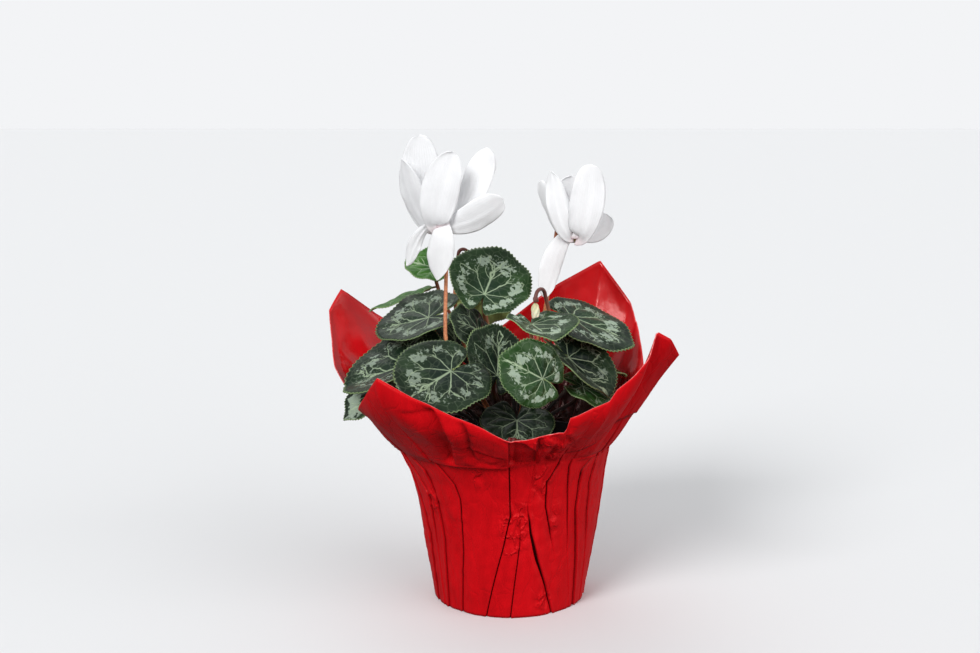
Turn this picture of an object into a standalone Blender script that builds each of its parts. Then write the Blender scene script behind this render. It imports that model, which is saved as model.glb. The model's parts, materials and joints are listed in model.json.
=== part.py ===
# A potted cyclamen: the plant in its nursery pot, dressed in one pleated sheet of red film.
# Values are in millimetres and degrees and the scene is in metres. +Z is up, -Y is the front,
# and the origin is the middle of the base on the surface that the pot stands on.
import math

import bmesh
import bpy
import numpy as np
from mathutils import Matrix, Vector

MM = 0.001
GAP = 0.3  # clearance between pieces that touch
MERGE = 0.00001  # merge distance of modifiers and welds, in metres
BLADE = 0.7  # thickness of leaf blades and petals

# Pot cover: a square sheet of film, knife pleated round the pot, its corners standing out
COVER_WALL = 0.8
PLEATS = 24
PLEAT_DEPTH = 1.3
PLEAT_STEPS = ((0.0, 1.0), (0.45, 0.5), (0.88, 0.0))  # place in the pleat, share of its depth
BODY_PROFILE = ((0, 38.2), (24, 42.2), (50, 46.2), (68, 49.4), (80, 53.0))  # height, radius
RIM_Z = 80.0
RIM_BULGE = 4.0  # the sheet stands off the pot on the -X side, most of all at the rim
COLLAR_RINGS = (0.22, 0.48, 0.74, 1.0)
COLLAR_RISE = 1.12  # the collar steepens a little towards its edge
# Edge of the sheet: azimuth, radius, height. It dips at mid side and peaks at the four corners.
SHEET_EDGE = (
    (-167, 63, 91), (-158, 73, 98), (-151, 82, 105), (-131, 91.5, 127), (-115, 81, 114),
    (-101, 74, 105), (-90, 72, 98), (-77, 72, 101), (-68, 74, 110), (-60, 78, 114),
    (-53, 84, 125), (-47, 90, 135), (-42, 87, 146), (-38, 90, 142), (-32, 92, 133),
    (-20, 77, 117), (-6, 73, 112), (8, 68, 106), (24, 74, 126), (38, 82, 141),
    (51, 78, 162), (69, 75, 148), (79, 74, 138), (98, 76, 118), (112, 80, 106),
    (124, 89, 116), (136, 101, 132), (146, 108, 147), (152, 108, 137), (159, 100, 123),
    (165, 93, 112), (170, 84, 103), (179, 64, 93),
)
SHEET_CORNERS = (-131, -42, 51, 146)
CORNER_REACH = 3.3  # a column this near to a corner turns aside to run into it

# Nursery pot, soil and tuber
POT_BASE_R = 35.0
POT_TOP_R = 46.2
POT_Z = COVER_WALL + GAP
POT_TOP_Z = 79.0
POT_WALL = 1.0
POT_COLLAR = (8.0, 1.2)  # height of the band under the rim, how far it stands out
POT_HOLES = 6
POT_HOLE_R = 3.5
POT_HOLE_RING = 24.0
SOIL_Z = 70.0
SOIL_MOUND = 1.5
TUBER_R = 22.0
TUBER_RISE = 11.0
ROUND_STEPS = 32

# Stalks stand in holes in the crown of the tuber, in three rings: how many, ring radius
CROWN_RINGS = ((5, 4.0), (8, 8.0), (12, 12.0))
CROWN_HOLE_DEPTH = 3.2
STALK_R = 1.1
STALK_NECK = 6.0  # straight run out of the hole
STALK_END = 3.0  # straight run up to the blade
STALK_POINTS = 6

# Leaves: joint of blade and stalk, heading and pitch of the tip, roll about it, length
# from joint to tip, width share, fold up from the midrib, droop of tip and sides
LEAVES = (
    ((-11, 0, 157), 67, 40, 26, 25, 1.00, 0.13, 0.05),
    ((-40, 0, 143), 171, -17, -21, 27, 1.00, 0.10, 0.00),
    ((-51.5, 38, 146), 168, -19, 12, 22.5, 0.95, 0.08, 0.04),
    ((-50, -20, 122), 167, -20, -18, 33, 1.00, 0.26, 0.01),
    ((-28, -43, 124), 223, -17, -30, 28, 0.98, 0.10, 0.05),
    ((-64, -13, 109), 190, -38, -22, 22, 0.75, 0.10, 0.01),
    ((-15.5, -10, 137), 225, 31, -56, 17, 0.95, 0.12, 0.20),
    ((-8, -23, 122), 80, 44, 31, 23, 0.84, 0.22, 0.00),
    ((14, -25, 143), 286, -9, -1, 21, 0.97, 0.28, 0.00),
    ((35, 9, 139), 357, -21, 14, 29, 1.00, 0.05, 0.03),
    ((29, -16, 124), 338, -39, 5, 26, 1.00, 0.34, 0.00),
    ((13, -47, 122), 197, 31, -73, 20, 0.95, 0.15, 0.11),
    ((35, -23, 112), 8, -17, 16, 18, 1.00, 0.06, 0.11),
    ((3, -34, 98), 270, -24, -4, 21, 1.00, 0.17, 0.00),
    ((-38.5, 36, 161.5), 165, 14, -27, 15.5, 1.05, 0.21, 0.05),
    ((-27, 31, 120), 105, 44, 0, 18, 1.00, 0.11, 0.05),
    ((-13, 38, 144), 94, -50, 4, 19, 1.00, 0.13, 0.05),
    ((16, 29, 121), 53, -11, -6, 27, 1.00, 0.12, 0.05),
    ((37, 13, 116), 22, -17, -1, 25, 1.00, 0.12, 0.03),
    ((-50, 17, 112), 173, -13, 4, 24, 1.00, 0.10, 0.02),
    ((6, 40, 107), 87, -52, 9, 17, 1.00, 0.14, 0.09),
)
LEAF_SEGMENTS = 36
TOOTH = 0.025  # depth of the margin's teeth, as a share of the radius

# Blooms hang mouth down from a hooked stem, and their petals turn up and back.
# stem: points on the way up. hook: where the hook starts.
# petals: azimuth at the mouth, tip from the mouth's middle, width, the way the face looks
MOUTH_R = 4.4
TUBE_HEIGHT = 7.0
CALYX_HEIGHT = 2.4
CALYX_POINTS = 5
SEPAL_NOTCH = 0.6  # how near the axis the notches between the sepals reach
PETAL_SINK = 1.4  # how deep the foot of a petal stands in the wall of the tube
PETAL_FLARE = 8.0
PETAL_FOOT = 0.36  # width of the foot as a share of the petal's
PETAL_WIDEST = 0.62  # where along the petal it is widest
PETAL_CUP = 0.13
PETAL_STEPS = 40
LEFT_BLOOM = dict(
    mouth=(-33.5, -14, 188.5), stem=((-31.5, -24, 135), (-31, -11, 166)), hook=(-30, -7),
    petals=(
        (140, (-10, 9, 43), 17, -80), (175, (-18, 2, 33), 14, -120), (-115, (7, -5, 39), 20, -95),
        (-5, (22, 5, 37), 14, -85), (-35, (30, -5, 11), 15, -70), (-90, (0, -7, -25), 13, -90),
        (-160, (-16, -1, -19), 9, -60),
    ),
)
RIGHT_BLOOM = dict(
    mouth=(32, 3, 181), stem=((19, 8, 151),), hook=(24, 8),
    petals=(
        (195, (-17, -1, 28), 9, 200), (-130, (-11, -5, 33), 16, -80), (100, (-2, 9, 26), 15, -95),
        (-50, (7, -4, 36), 18, -85), (20, (17, 6, 11), 14, -80), (-150, (-15, -6, -29), 13, -80),
    ),
)
# Buds hang point down from the middle of their top, on the same kind of stem.
LEFT_BUD = dict(top=(-21, 26, 167.5), length=20.5, radius=3.2, stem=((-28, 26, 150),), hook=(-26, 26))
RIGHT_BUD = dict(top=(12, -18.3, 152), length=9.5, radius=2.3, stem=((20, -9, 142),), hook=(17, -12))
BUD_TWIST = 70.0
BUD_LOBES = 0.10  # how far the five rolled petals stand out, as a share of the radius
BUD_TAPER = 0.35

COLOURS = {
    "red_film": ((0.60, 0.008, 0.012), 0.42),
    "nursery_plastic": ((0.03, 0.03, 0.035), 0.5),
    "soil": ((0.02, 0.014, 0.010), 0.95),
    "tuber": ((0.10, 0.055, 0.035), 0.85),
    "leaf": ((0.045, 0.10, 0.055), 0.45),
    "stalk": ((0.28, 0.11, 0.06), 0.5),
    "petal": ((0.88, 0.89, 0.90), 0.45),
    "bud": ((0.72, 0.68, 0.48), 0.5),
}


def material(name):
    found = bpy.data.materials.get(name)
    if found:
        return found
    colour, roughness = COLOURS[name]
    made = bpy.data.materials.new(name)
    made.use_nodes = True
    shader = made.node_tree.nodes["Principled BSDF"]
    shader.inputs["Base Color"].default_value = (*colour, 1.0)
    shader.inputs["Roughness"].default_value = roughness
    shader.inputs["Metallic"].default_value = 0.0
    return made


def collection(name):
    made = bpy.data.collections.new(name)
    bpy.context.scene.collection.children.link(made)
    return made


def add_object(name, data, finish, group):
    data.materials.append(material(finish))
    made = bpy.data.objects.new(name, data)
    group.objects.link(made)
    return made


def mesh_of(bm, name):
    mesh = bpy.data.meshes.new(name)
    bm.to_mesh(mesh)
    bm.free()
    return mesh


def solidify(obj, thickness):
    """Gives an open sheet its thickness on the side away from its faces."""
    shell = obj.modifiers.new("thickness", "SOLIDIFY")
    shell.thickness = thickness * MM
    shell.offset = -1.0
    return shell


def applied(obj):
    """Replaces the object's mesh by what its modifiers make of it, with the doubles welded."""
    graph = bpy.context.evaluated_depsgraph_get()
    mesh = bpy.data.meshes.new_from_object(obj.evaluated_get(graph))
    bm = bmesh.new()
    bm.from_mesh(mesh)
    bmesh.ops.remove_doubles(bm, verts=bm.verts, dist=MERGE)
    bm.to_mesh(mesh)
    bm.free()
    obj.modifiers.clear()
    obj.data = mesh
    return obj


def drop_scraps(mesh):
    """Leaves only the largest piece of a joined mesh, going from face to face over clean edges."""
    bm = bmesh.new()
    bm.from_mesh(mesh)
    pieces = []
    left = set(bm.faces)
    while left:
        piece, front = set(), {left.pop()}
        while front:
            face = front.pop()
            piece.add(face)
            clean = [edge for edge in face.edges if len(edge.link_faces) == 2]
            front |= {other for edge in clean for other in edge.link_faces} - piece
        left -= piece
        pieces.append(piece)
    pieces.sort(key=len)
    for piece in pieces[:-1]:
        bmesh.ops.delete(bm, geom=list(piece), context="FACES")
    bm.to_mesh(mesh)
    bm.free()


def boolean(obj, operation, others):
    """Joins or cuts an object with all the objects of a collection, and removes them."""
    step = obj.modifiers.new(operation.lower(), "BOOLEAN")
    step.operation = operation
    step.operand_type = "COLLECTION"
    step.collection = others
    applied(obj)
    drop_scraps(obj.data)
    for other in list(others.objects):
        bpy.data.objects.remove(other)
    bpy.data.collections.remove(others)
    return obj


def direction(azimuth):
    return Vector((math.cos(math.radians(azimuth)), math.sin(math.radians(azimuth)), 0.0))


def turned(name, profile, finish, group):
    """A solid turned round Z from a profile of (radius, height) that runs up its outer side."""
    bm = bmesh.new()
    points = [bm.verts.new((r * MM, 0.0, z * MM)) for r, z in reversed(profile)]
    for first, second in zip(points, points[1:]):
        bm.edges.new((first, second))
    made = add_object(name, mesh_of(bm, name), finish, group)
    screw = made.modifiers.new("turn", "SCREW")
    screw.steps = ROUND_STEPS
    screw.render_steps = ROUND_STEPS
    screw.use_merge_vertices = True
    screw.merge_threshold = MERGE
    screw.use_smooth_shade = True
    return made


def cover_columns():
    """Azimuth and share of the pleat depth of each column of points round the cover."""
    pitch = 360.0 / PLEATS
    return [(-90.0 + (i + place) * pitch, share) for i in range(PLEATS) for place, share in PLEAT_STEPS]


def cover_rings():
    """Rings of points of the sheet's outside, from the base up the body and out to its edge."""
    columns = cover_columns()
    edge_azimuths, edge_radii, edge_heights = zip(*SHEET_EDGE)
    rings = []
    for height, radius in BODY_PROFILE:
        ring = []
        for azimuth, deep in columns:
            bulge = RIM_BULGE * max(0.0, -direction(azimuth).x) * (height / RIM_Z) ** 6
            point = direction(azimuth) * (radius + bulge - PLEAT_DEPTH * deep)
            ring.append(point + Vector((0, 0, height)))
        rings.append(ring)
    for share in COLLAR_RINGS:
        ring = []
        for (azimuth, _), rim in zip(columns, rings[len(BODY_PROFILE) - 1]):
            for corner in SHEET_CORNERS:
                aside = (corner - azimuth + 180) % 360 - 180
                if abs(aside) < CORNER_REACH:
                    azimuth = corner
            out = direction(azimuth) * np.interp(azimuth, edge_azimuths, edge_radii, period=360)
            up = np.interp(azimuth, edge_azimuths, edge_heights, period=360) - RIM_Z
            level = rim.lerp(out, share)
            ring.append(Vector((level.x, level.y, RIM_Z + up * share**COLLAR_RISE)))
        rings.append(ring)
    return rings


def build_cover(group):
    """The sheet is a loft between unlike rings: pleated ones on the body, the sheet's edge at the top."""
    bm = bmesh.new()
    rings = [[bm.verts.new(point * MM) for point in ring] for ring in cover_rings()]
    bm.faces.new(list(reversed(rings[0])))
    for lower, upper in zip(rings, rings[1:]):
        for i in range(len(lower)):
            after = (i + 1) % len(lower)
            bm.faces.new((lower[i], lower[after], upper[after], upper[i]))
    bmesh.ops.triangulate(bm, faces=bm.faces[:])
    solidify(add_object("pot_cover", mesh_of(bm, "pot_cover"), "red_film", group), COVER_WALL)


def build_pot(group):
    band, proud = POT_COLLAR
    floor = POT_Z + POT_WALL
    pot = turned(
        "nursery_pot",
        (
            (0, POT_Z), (POT_BASE_R, POT_Z), (POT_TOP_R, POT_TOP_Z - band),
            (POT_TOP_R + proud, POT_TOP_Z - band), (POT_TOP_R + proud, POT_TOP_Z),
            (POT_TOP_R - POT_WALL, POT_TOP_Z), (POT_BASE_R - POT_WALL, floor), (0, floor),
        ),
        "nursery_plastic", group,
    )
    cutters = collection("pot_hole_cutters")
    for i in range(POT_HOLES):
        centre = direction(i * 360 / POT_HOLES) * POT_HOLE_RING + Vector((0, 0, POT_Z))
        bm = bmesh.new()
        bmesh.ops.create_cone(
            bm, cap_ends=True, segments=12, radius1=POT_HOLE_R * MM, radius2=POT_HOLE_R * MM,
            depth=8 * POT_WALL * MM, matrix=Matrix.Translation(centre * MM),
        )
        add_object("pot_hole", mesh_of(bm, "pot_hole"), "nursery_plastic", cutters)
    boolean(pot, "DIFFERENCE", cutters)


def build_soil(group):
    """The soil fills the pot and holds the lower half of the tuber in a bowl."""
    floor = POT_Z + POT_WALL + GAP
    slope = (POT_TOP_R - POT_BASE_R) / (POT_TOP_Z - POT_Z - POT_WALL)
    inside = POT_BASE_R - POT_WALL - 2 * GAP
    bowl = [
        ((TUBER_R + GAP) * math.cos(a), SOIL_Z - (TUBER_RISE + GAP) * math.sin(a))
        for a in np.linspace(0, math.pi / 2, 7)
    ]
    bowl[-1] = (0.0, bowl[-1][1])
    outside = [(0, floor), (inside, floor), (inside + slope * (SOIL_Z - floor), SOIL_Z)]
    mound = [((POT_BASE_R + TUBER_R) * 0.6, SOIL_Z + SOIL_MOUND)]
    turned("potting_soil", outside + mound + bowl, "soil", group)


def crown_slots(tops):
    """Where each stalk stands in the crown: the tall, central ones in the inner ring, then in
    each ring in the order of the directions they go, so that no two stalks cross."""
    order = sorted(tops, key=lambda name: math.hypot(*tops[name][:2]) - 0.5 * tops[name][2])
    slots = {}
    for count, radius in CROWN_RINGS:
        members, order = order[:count], order[count:]
        if not members:
            break
        members.sort(key=lambda name: math.atan2(tops[name][1], tops[name][0]))
        step = math.tau / len(members)
        turns = [math.atan2(tops[name][1], tops[name][0]) - i * step for i, name in enumerate(members)]
        start = sum(turns) / len(turns)
        for i, name in enumerate(members):
            angle = start + i * step
            slots[name] = Vector((radius * math.cos(angle), radius * math.sin(angle), crown_height(radius)))
    return slots


def crown_height(radius):
    """Height of the bottom of a stalk hole at this distance from the tuber's middle."""
    return SOIL_Z + TUBER_RISE * math.sqrt(1 - (radius / TUBER_R) ** 2) - CROWN_HOLE_DEPTH


def first_lean(slot):
    """The way a stalk leaves the crown: up, leaning a little outwards."""
    return (Vector((slot.x, slot.y, 0.0)).normalized() * 0.25 + Vector((0, 0, 1.0))).normalized()


def build_tuber(group, slots):
    bm = bmesh.new()
    bmesh.ops.create_uvsphere(bm, u_segments=20, v_segments=10, radius=1.0)
    bmesh.ops.scale(bm, vec=(TUBER_R * MM, TUBER_R * MM, TUBER_RISE * MM), verts=bm.verts)
    bmesh.ops.translate(bm, vec=(0, 0, SOIL_Z * MM), verts=bm.verts)
    tuber = add_object("tuber", mesh_of(bm, "tuber"), "tuber", group)
    cutters = collection("crown_hole_cutters")
    for slot in slots.values():
        lean = first_lean(slot)
        length = CROWN_HOLE_DEPTH + 4.0
        turn = lean.to_track_quat("Z", "Y").to_matrix().to_4x4()
        place = Matrix.Translation((slot + lean * (length / 2 - GAP)) * MM) @ turn
        radius = (STALK_R + 1.5 * GAP) * MM
        bm = bmesh.new()
        bmesh.ops.create_cone(
            bm, cap_ends=True, segments=8, radius1=radius, radius2=radius, depth=length * MM, matrix=place
        )
        add_object("crown_hole", mesh_of(bm, "crown_hole"), "tuber", cutters)
    boolean(tuber, "DIFFERENCE", cutters)


def bezier(points, count):
    """Points along a cubic curve, ends included."""
    a, b, c, d = points
    return [
        a * (1 - t) ** 3 + b * 3 * t * (1 - t) ** 2 + c * 3 * t * t * (1 - t) + d * t**3
        for t in np.linspace(0, 1, count)
    ]


def tube(name, points, radius, finish, group):
    curve = bpy.data.curves.new(name, "CURVE")
    curve.dimensions = "3D"
    curve.bevel_depth = radius * MM
    curve.bevel_resolution = 1
    curve.use_fill_caps = True
    spline = curve.splines.new("POLY")
    spline.points.add(len(points) - 1)
    for place, point in zip(spline.points, points):
        place.co = (*(point * MM), 1.0)
    return add_object(name, curve, finish, group)


def rising(slot, top, arrive):
    """The lower run of every stalk: straight out of its hole, then in one curve up to a point,
    where it arrives in the given direction."""
    neck = slot + first_lean(slot) * STALK_NECK
    reach = (top - neck).length
    up = first_lean(slot) * (0.46 * reach)
    return [slot] + bezier((neck, neck + up, top - arrive * (0.25 * reach), top), STALK_POINTS)


def leaf_frame(leaf):
    """Unit vectors of a leaf: towards the tip, towards its side, and out of its upper face."""
    _, heading, pitch, roll = leaf[:4]
    h, p, r = (math.radians(v) for v in (heading, pitch, roll))
    tip = Vector((math.cos(h) * math.cos(p), math.sin(h) * math.cos(p), math.sin(p)))
    level = Vector((-math.sin(h), math.cos(h), 0.0))
    side = level * math.cos(r) + tip.cross(level) * math.sin(r)
    return tip, side, tip.cross(side)


def leaf_radius(angle):
    """Heart-shaped outline round the joint: a short point at 0 degrees, the notch at 180."""
    turn = abs(math.degrees(angle))
    outline = 0.62 + 0.38 * math.cos(angle / 2) ** 2 + 0.05 * math.exp(-((turn / 14) ** 2))
    return outline * (1 - 0.95 * math.exp(-(((180 - turn) / 15) ** 2)))


def leaf_point(leaf, angle, share):
    joint, _, _, _, length, width, fold, droop = leaf
    tip, side, up = leaf_frame(leaf)
    radius = leaf_radius(angle) * share * length
    along = radius * math.cos(angle)
    across = radius * math.sin(angle) * width
    rise = fold * abs(across) - droop * (across**2 + max(along, 0.0) ** 2) / length
    return Vector(joint) + tip * along + side * across + up * rise


def build_leaf(number, leaf, slot, group):
    name = f"leaf_{number:02d}"
    bm = bmesh.new()
    bmesh.ops.create_circle(bm, cap_ends=True, cap_tris=True, segments=LEAF_SEGMENTS, radius=0.5)
    rim = [edge for edge in bm.edges if edge.is_boundary]
    outer = bmesh.ops.extrude_edge_only(bm, edges=rim)["geom"]
    bmesh.ops.scale(bm, vec=(2, 2, 1), verts=[v for v in outer if isinstance(v, bmesh.types.BMVert)])
    for vert in bm.verts:
        share = vert.co.length
        angle = math.atan2(vert.co.y, vert.co.x)
        if share > 0.9:
            tooth = round(angle / math.tau * LEAF_SEGMENTS) % 2
            share += TOOTH * (1 - 2 * tooth)
        vert.co = leaf_point(leaf, angle, share) * MM
    bmesh.ops.recalc_face_normals(bm, faces=bm.faces)
    up = leaf_frame(leaf)[2]
    if sum((face.normal for face in bm.faces), Vector()).dot(up) < 0:
        bmesh.ops.reverse_faces(bm, faces=bm.faces)
    bmesh.ops.triangulate(bm, faces=bm.faces[:])
    solidify(add_object(name, mesh_of(bm, name), "leaf", group), BLADE)

    # the stalk rises to just below the blade and meets it square on
    joint = Vector(leaf[0])
    below = joint - up * (BLADE + STALK_END)
    arrive = (up + Vector((0, 0, 0.9))).normalized()
    points = rising(slot, below, arrive) + [joint - up * (BLADE + GAP)]
    tube(f"leaf_stalk_{number:02d}", points, STALK_R, "stalk", group)


def hooked(slot, plan, end):
    """A stem that rises, turns over in a half circle and comes down on the end point."""
    top = Vector((*plan["hook"], end.z + 1.0))
    middle = Vector(((top.x + end.x) / 2, (top.y + end.y) / 2, top.z))
    half = top - middle
    stops = [Vector(stop) for stop in plan["stem"]] + [top]
    points = rising(slot, stops[0], (stops[1] - stops[0]).normalized())
    points += stops[1:-1]
    points.append(stops[-2].lerp(top, 0.5))
    for angle in np.linspace(0, math.pi, 6):
        points.append(middle + half * math.cos(angle) + Vector((0, 0, half.length * math.sin(angle))))
    points.append(end)
    return points


def build_stem(name, slot, plan, calyx_base, calyx_radius, group):
    """A hooked stem fused to the five-pointed calyx that caps the flower's tube or the bud."""
    end = calyx_base + Vector((0, 0, CALYX_HEIGHT / 2))
    stem = tube(name, hooked(slot, plan, end), STALK_R, "stalk", group)
    graph = bpy.context.evaluated_depsgraph_get()
    mesh = bpy.data.meshes.new_from_object(stem.evaluated_get(graph))
    bpy.data.objects.remove(stem)
    bm = bmesh.new()
    bm.from_mesh(mesh)
    bmesh.ops.remove_doubles(bm, verts=bm.verts, dist=MERGE)
    bm.to_mesh(mesh)
    bm.free()
    fused = bpy.data.objects.new(name, mesh)
    group.objects.link(fused)

    bm = bmesh.new()
    bmesh.ops.create_cone(
        bm, cap_ends=True, segments=2 * CALYX_POINTS, radius1=calyx_radius * MM,
        radius2=STALK_R * 1.3 * MM, depth=CALYX_HEIGHT * MM, matrix=Matrix.Translation(end * MM),
    )
    for vert in bm.verts:  # every second point of the lower ring is drawn in, which leaves the sepals
        offset = vert.co - calyx_base * MM
        turn = round(math.atan2(offset.y, offset.x) / math.tau * 2 * CALYX_POINTS)
        if offset.z < CALYX_HEIGHT / 2 * MM and turn % 2:
            drawn = Vector((offset.x * SEPAL_NOTCH, offset.y * SEPAL_NOTCH, offset.z))
            vert.co = calyx_base * MM + drawn
    caps = collection("calyx_join")
    add_object("calyx", mesh_of(bm, "calyx"), "stalk", caps)
    boolean(fused, "UNION", caps)
    fused.name = name


def petal_point(mouth, petal, t, across):
    """A point of a petal: t runs from the mouth to the tip, across from -1 to 1 over its width."""
    azimuth, tip, width, looks = petal
    out = direction(azimuth)
    root = out * (MOUTH_R - PETAL_SINK) + Vector((0, 0, 1.0))
    tip = Vector(tip)
    flare = root + out * PETAL_FLARE + Vector((0, 0, -1.5))
    near_tip = tip - (tip - root) * 0.35 + out * 3.0
    spine = bezier((root, flare, near_tip, tip), PETAL_STEPS + 1)
    index = round(t * PETAL_STEPS)
    ahead = spine[min(index + 1, PETAL_STEPS)] - spine[max(index - 1, 0)]
    face = direction(looks)
    side = ahead.cross(face).normalized()
    widening = math.sin(math.pi / 2 * min(t / PETAL_WIDEST, 1.0)) ** 2
    spread = width / 2 * (PETAL_FOOT + (1 - PETAL_FOOT) * widening)
    if t > PETAL_WIDEST:
        spread *= math.sqrt(1 - 0.94 * ((t - PETAL_WIDEST) / (1 - PETAL_WIDEST)) ** 2)
    cup = -PETAL_CUP * width * across * across * math.sin(math.pi * t)
    return Vector(mouth) + spine[index] + side * (spread * across) + face * cup


def build_bloom(name, plan, group):
    """The corolla: a short tube with its mouth down, and every petal sunk into the mouth's ring."""
    mouth = Vector(plan["mouth"])
    bm = bmesh.new()
    bmesh.ops.create_cone(
        bm, cap_ends=True, segments=16, radius1=MOUTH_R * MM, radius2=MOUTH_R * 0.75 * MM,
        depth=TUBE_HEIGHT * MM,
        matrix=Matrix.Translation((mouth + Vector((0, 0, TUBE_HEIGHT / 2))) * MM),
    )
    bloom = add_object(name, mesh_of(bm, name), "petal", group)
    petals = collection("petal_join")
    for petal in plan["petals"]:
        bm = bmesh.new()
        bmesh.ops.create_grid(bm, x_segments=7, y_segments=4, size=1.0)
        for vert in bm.verts:
            vert.co = petal_point(mouth, petal, (vert.co.x + 1) / 2, vert.co.y) * MM
        bmesh.ops.triangulate(bm, faces=bm.faces[:])
        sheet = add_object("petal", mesh_of(bm, "petal"), "petal", petals)
        solidify(sheet, BLADE).offset = 0.0
        applied(sheet)
    boolean(bloom, "UNION", petals)


def build_bud(name, plan, group):
    """A closed bud hangs point down, its petals rolled round each other in a slow twist."""
    top = Vector(plan["top"])
    bm = bmesh.new()
    bmesh.ops.create_uvsphere(bm, u_segments=10, v_segments=8, radius=1.0)
    for vert in bm.verts:
        down = (1 - vert.co.z) / 2
        turn = Matrix.Rotation(math.radians(BUD_TWIST) * down, 3, "Z")
        lobes = 1 + BUD_LOBES * math.cos(5 * math.atan2(vert.co.y, vert.co.x))
        flat = turn @ Vector((vert.co.x, vert.co.y, 0.0))
        flat *= plan["radius"] * lobes * (1 - BUD_TAPER * down)
        vert.co = (top + Vector((flat.x, flat.y, -plan["length"] * down))) * MM
    add_object(name, mesh_of(bm, name), "bud", group)


def main():
    for old in list(bpy.data.objects):
        bpy.data.objects.remove(old)
    plant = collection("potted_cyclamen")
    build_cover(plant)
    build_pot(plant)
    build_soil(plant)

    tops = {i: leaf[0] for i, leaf in enumerate(LEAVES, 1)}
    flowers = {
        "bloom_left": LEFT_BLOOM, "bloom_right": RIGHT_BLOOM, "bud_left": LEFT_BUD, "bud_right": RIGHT_BUD,
    }
    tops.update({name: plan["stem"][-1] for name, plan in flowers.items()})
    slots = crown_slots(tops)
    build_tuber(plant, slots)
    for number, leaf in enumerate(LEAVES, 1):
        build_leaf(number, leaf, slots[number], plant)
    for name in ("bloom_left", "bloom_right"):
        plan = flowers[name]
        build_bloom(name, plan, plant)
        above = Vector(plan["mouth"]) + Vector((0, 0, TUBE_HEIGHT + GAP))
        build_stem(f"{name}_stem", slots[name], plan, above, MOUTH_R * 0.75, plant)
    for name in ("bud_left", "bud_right"):
        plan = flowers[name]
        build_bud(name, plan, plant)
        above = Vector(plan["top"]) + Vector((0, 0, GAP))
        build_stem(f"{name}_stem", slots[name], plan, above, plan["radius"] * 0.8, plant)


main()
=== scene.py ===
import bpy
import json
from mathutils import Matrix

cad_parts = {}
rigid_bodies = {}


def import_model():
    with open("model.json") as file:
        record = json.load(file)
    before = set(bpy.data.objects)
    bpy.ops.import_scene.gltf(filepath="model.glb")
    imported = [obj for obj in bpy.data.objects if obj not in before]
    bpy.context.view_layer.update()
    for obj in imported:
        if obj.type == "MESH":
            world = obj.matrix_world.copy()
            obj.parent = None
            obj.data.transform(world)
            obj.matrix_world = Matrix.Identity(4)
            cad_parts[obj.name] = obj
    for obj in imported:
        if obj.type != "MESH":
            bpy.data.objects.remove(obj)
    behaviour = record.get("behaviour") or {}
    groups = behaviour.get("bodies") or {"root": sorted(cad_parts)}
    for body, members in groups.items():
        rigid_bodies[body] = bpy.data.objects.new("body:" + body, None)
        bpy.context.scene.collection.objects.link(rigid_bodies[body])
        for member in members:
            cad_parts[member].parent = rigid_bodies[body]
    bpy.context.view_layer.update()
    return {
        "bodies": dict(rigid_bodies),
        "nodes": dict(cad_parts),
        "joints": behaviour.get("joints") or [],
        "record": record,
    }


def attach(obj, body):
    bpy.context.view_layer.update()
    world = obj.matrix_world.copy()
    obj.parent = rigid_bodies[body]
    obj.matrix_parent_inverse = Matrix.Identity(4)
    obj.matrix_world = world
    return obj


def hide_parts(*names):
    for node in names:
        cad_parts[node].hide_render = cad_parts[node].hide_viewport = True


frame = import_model()

import json
import math
import random
from functools import partial

import bmesh
import bpy
import numpy as np
from mathutils import Matrix, Vector, noise

mm = 0.001
nodes = frame["nodes"]


# small helpers: colours, material nodes, pieces, curves

def hexColour(text):  # "#rrggbb" in sRGB to the linear values that Blender shades with
    channels = [int(text[i:i + 2], 16) / 255 for i in (1, 3, 5)]
    return [c / 12.92 if c <= 0.04045 else ((c + 0.055) / 1.055) ** 2.4 for c in channels] + [1.0]


# one node, given back as the output that is wanted: its sockets take values and links in order, where None
# leaves one alone, or from one dictionary, and "Math ADD" is a kind with its operation
def addNode(material, kind, *inputs, out=0, stops=(), **settings):
    tree = material.node_tree
    kind, _, operation = kind.partition(" ")
    node = tree.nodes.new("ShaderNode" + kind)
    if operation:
        node.operation = operation
    for name, value in settings.items():
        setattr(node, name, value)
    sockets = inputs[0] if inputs and isinstance(inputs[0], dict) else dict(enumerate(inputs))
    for key, value in sockets.items():
        if isinstance(value, bpy.types.NodeSocket):
            tree.links.new(value, node.inputs[key])
        elif value is not None:
            node.inputs[key].default_value = value
    if stops:  # places and colours of a ramp
        ramp = node.color_ramp.elements
        while len(ramp) < len(stops):
            ramp.new(0.5)
        for element, (place, colour) in zip(ramp, stops):
            element.position = place
            element.color = hexColour(colour) if isinstance(colour, str) else [colour] * 3 + [1.0]
    return node.outputs[out]


def newMaterial(name, sockets):  # with the fixed values of its shader, and the function that adds nodes to it
    material = bpy.data.materials.new(name)
    material.use_nodes = True
    for socket, value in sockets.items():
        material.node_tree.nodes["Principled BSDF"].inputs[socket].default_value = value
    return material, partial(addNode, material)


# a pattern gives the first colour, tints are laid over it by their shares or by the values of an attribute,
# and a relief bumps the surface
def coat(material, pattern, stops, tints=(), relief=None, strength=0.0, depth=0.0):
    tree = material.node_tree
    shader = tree.nodes["Principled BSDF"]
    colour = addNode(material, "ValToRGB", pattern, stops=stops)
    for share, tint in tints:
        if isinstance(share, str):
            share = addNode(material, "Attribute", attribute_name=share, out="Fac")
        tint = hexColour(tint) if isinstance(tint, str) else tint
        colour = addNode(material, "Mix", {0: share, 6: colour, 7: tint}, data_type="RGBA", out=2)
    tree.links.new(colour, shader.inputs["Base Color"])
    if relief:
        bump = addNode(material, "Bump", {"Strength": strength, "Distance": depth, "Height": relief})
        tree.links.new(bump, shader.inputs["Normal"])


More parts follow.
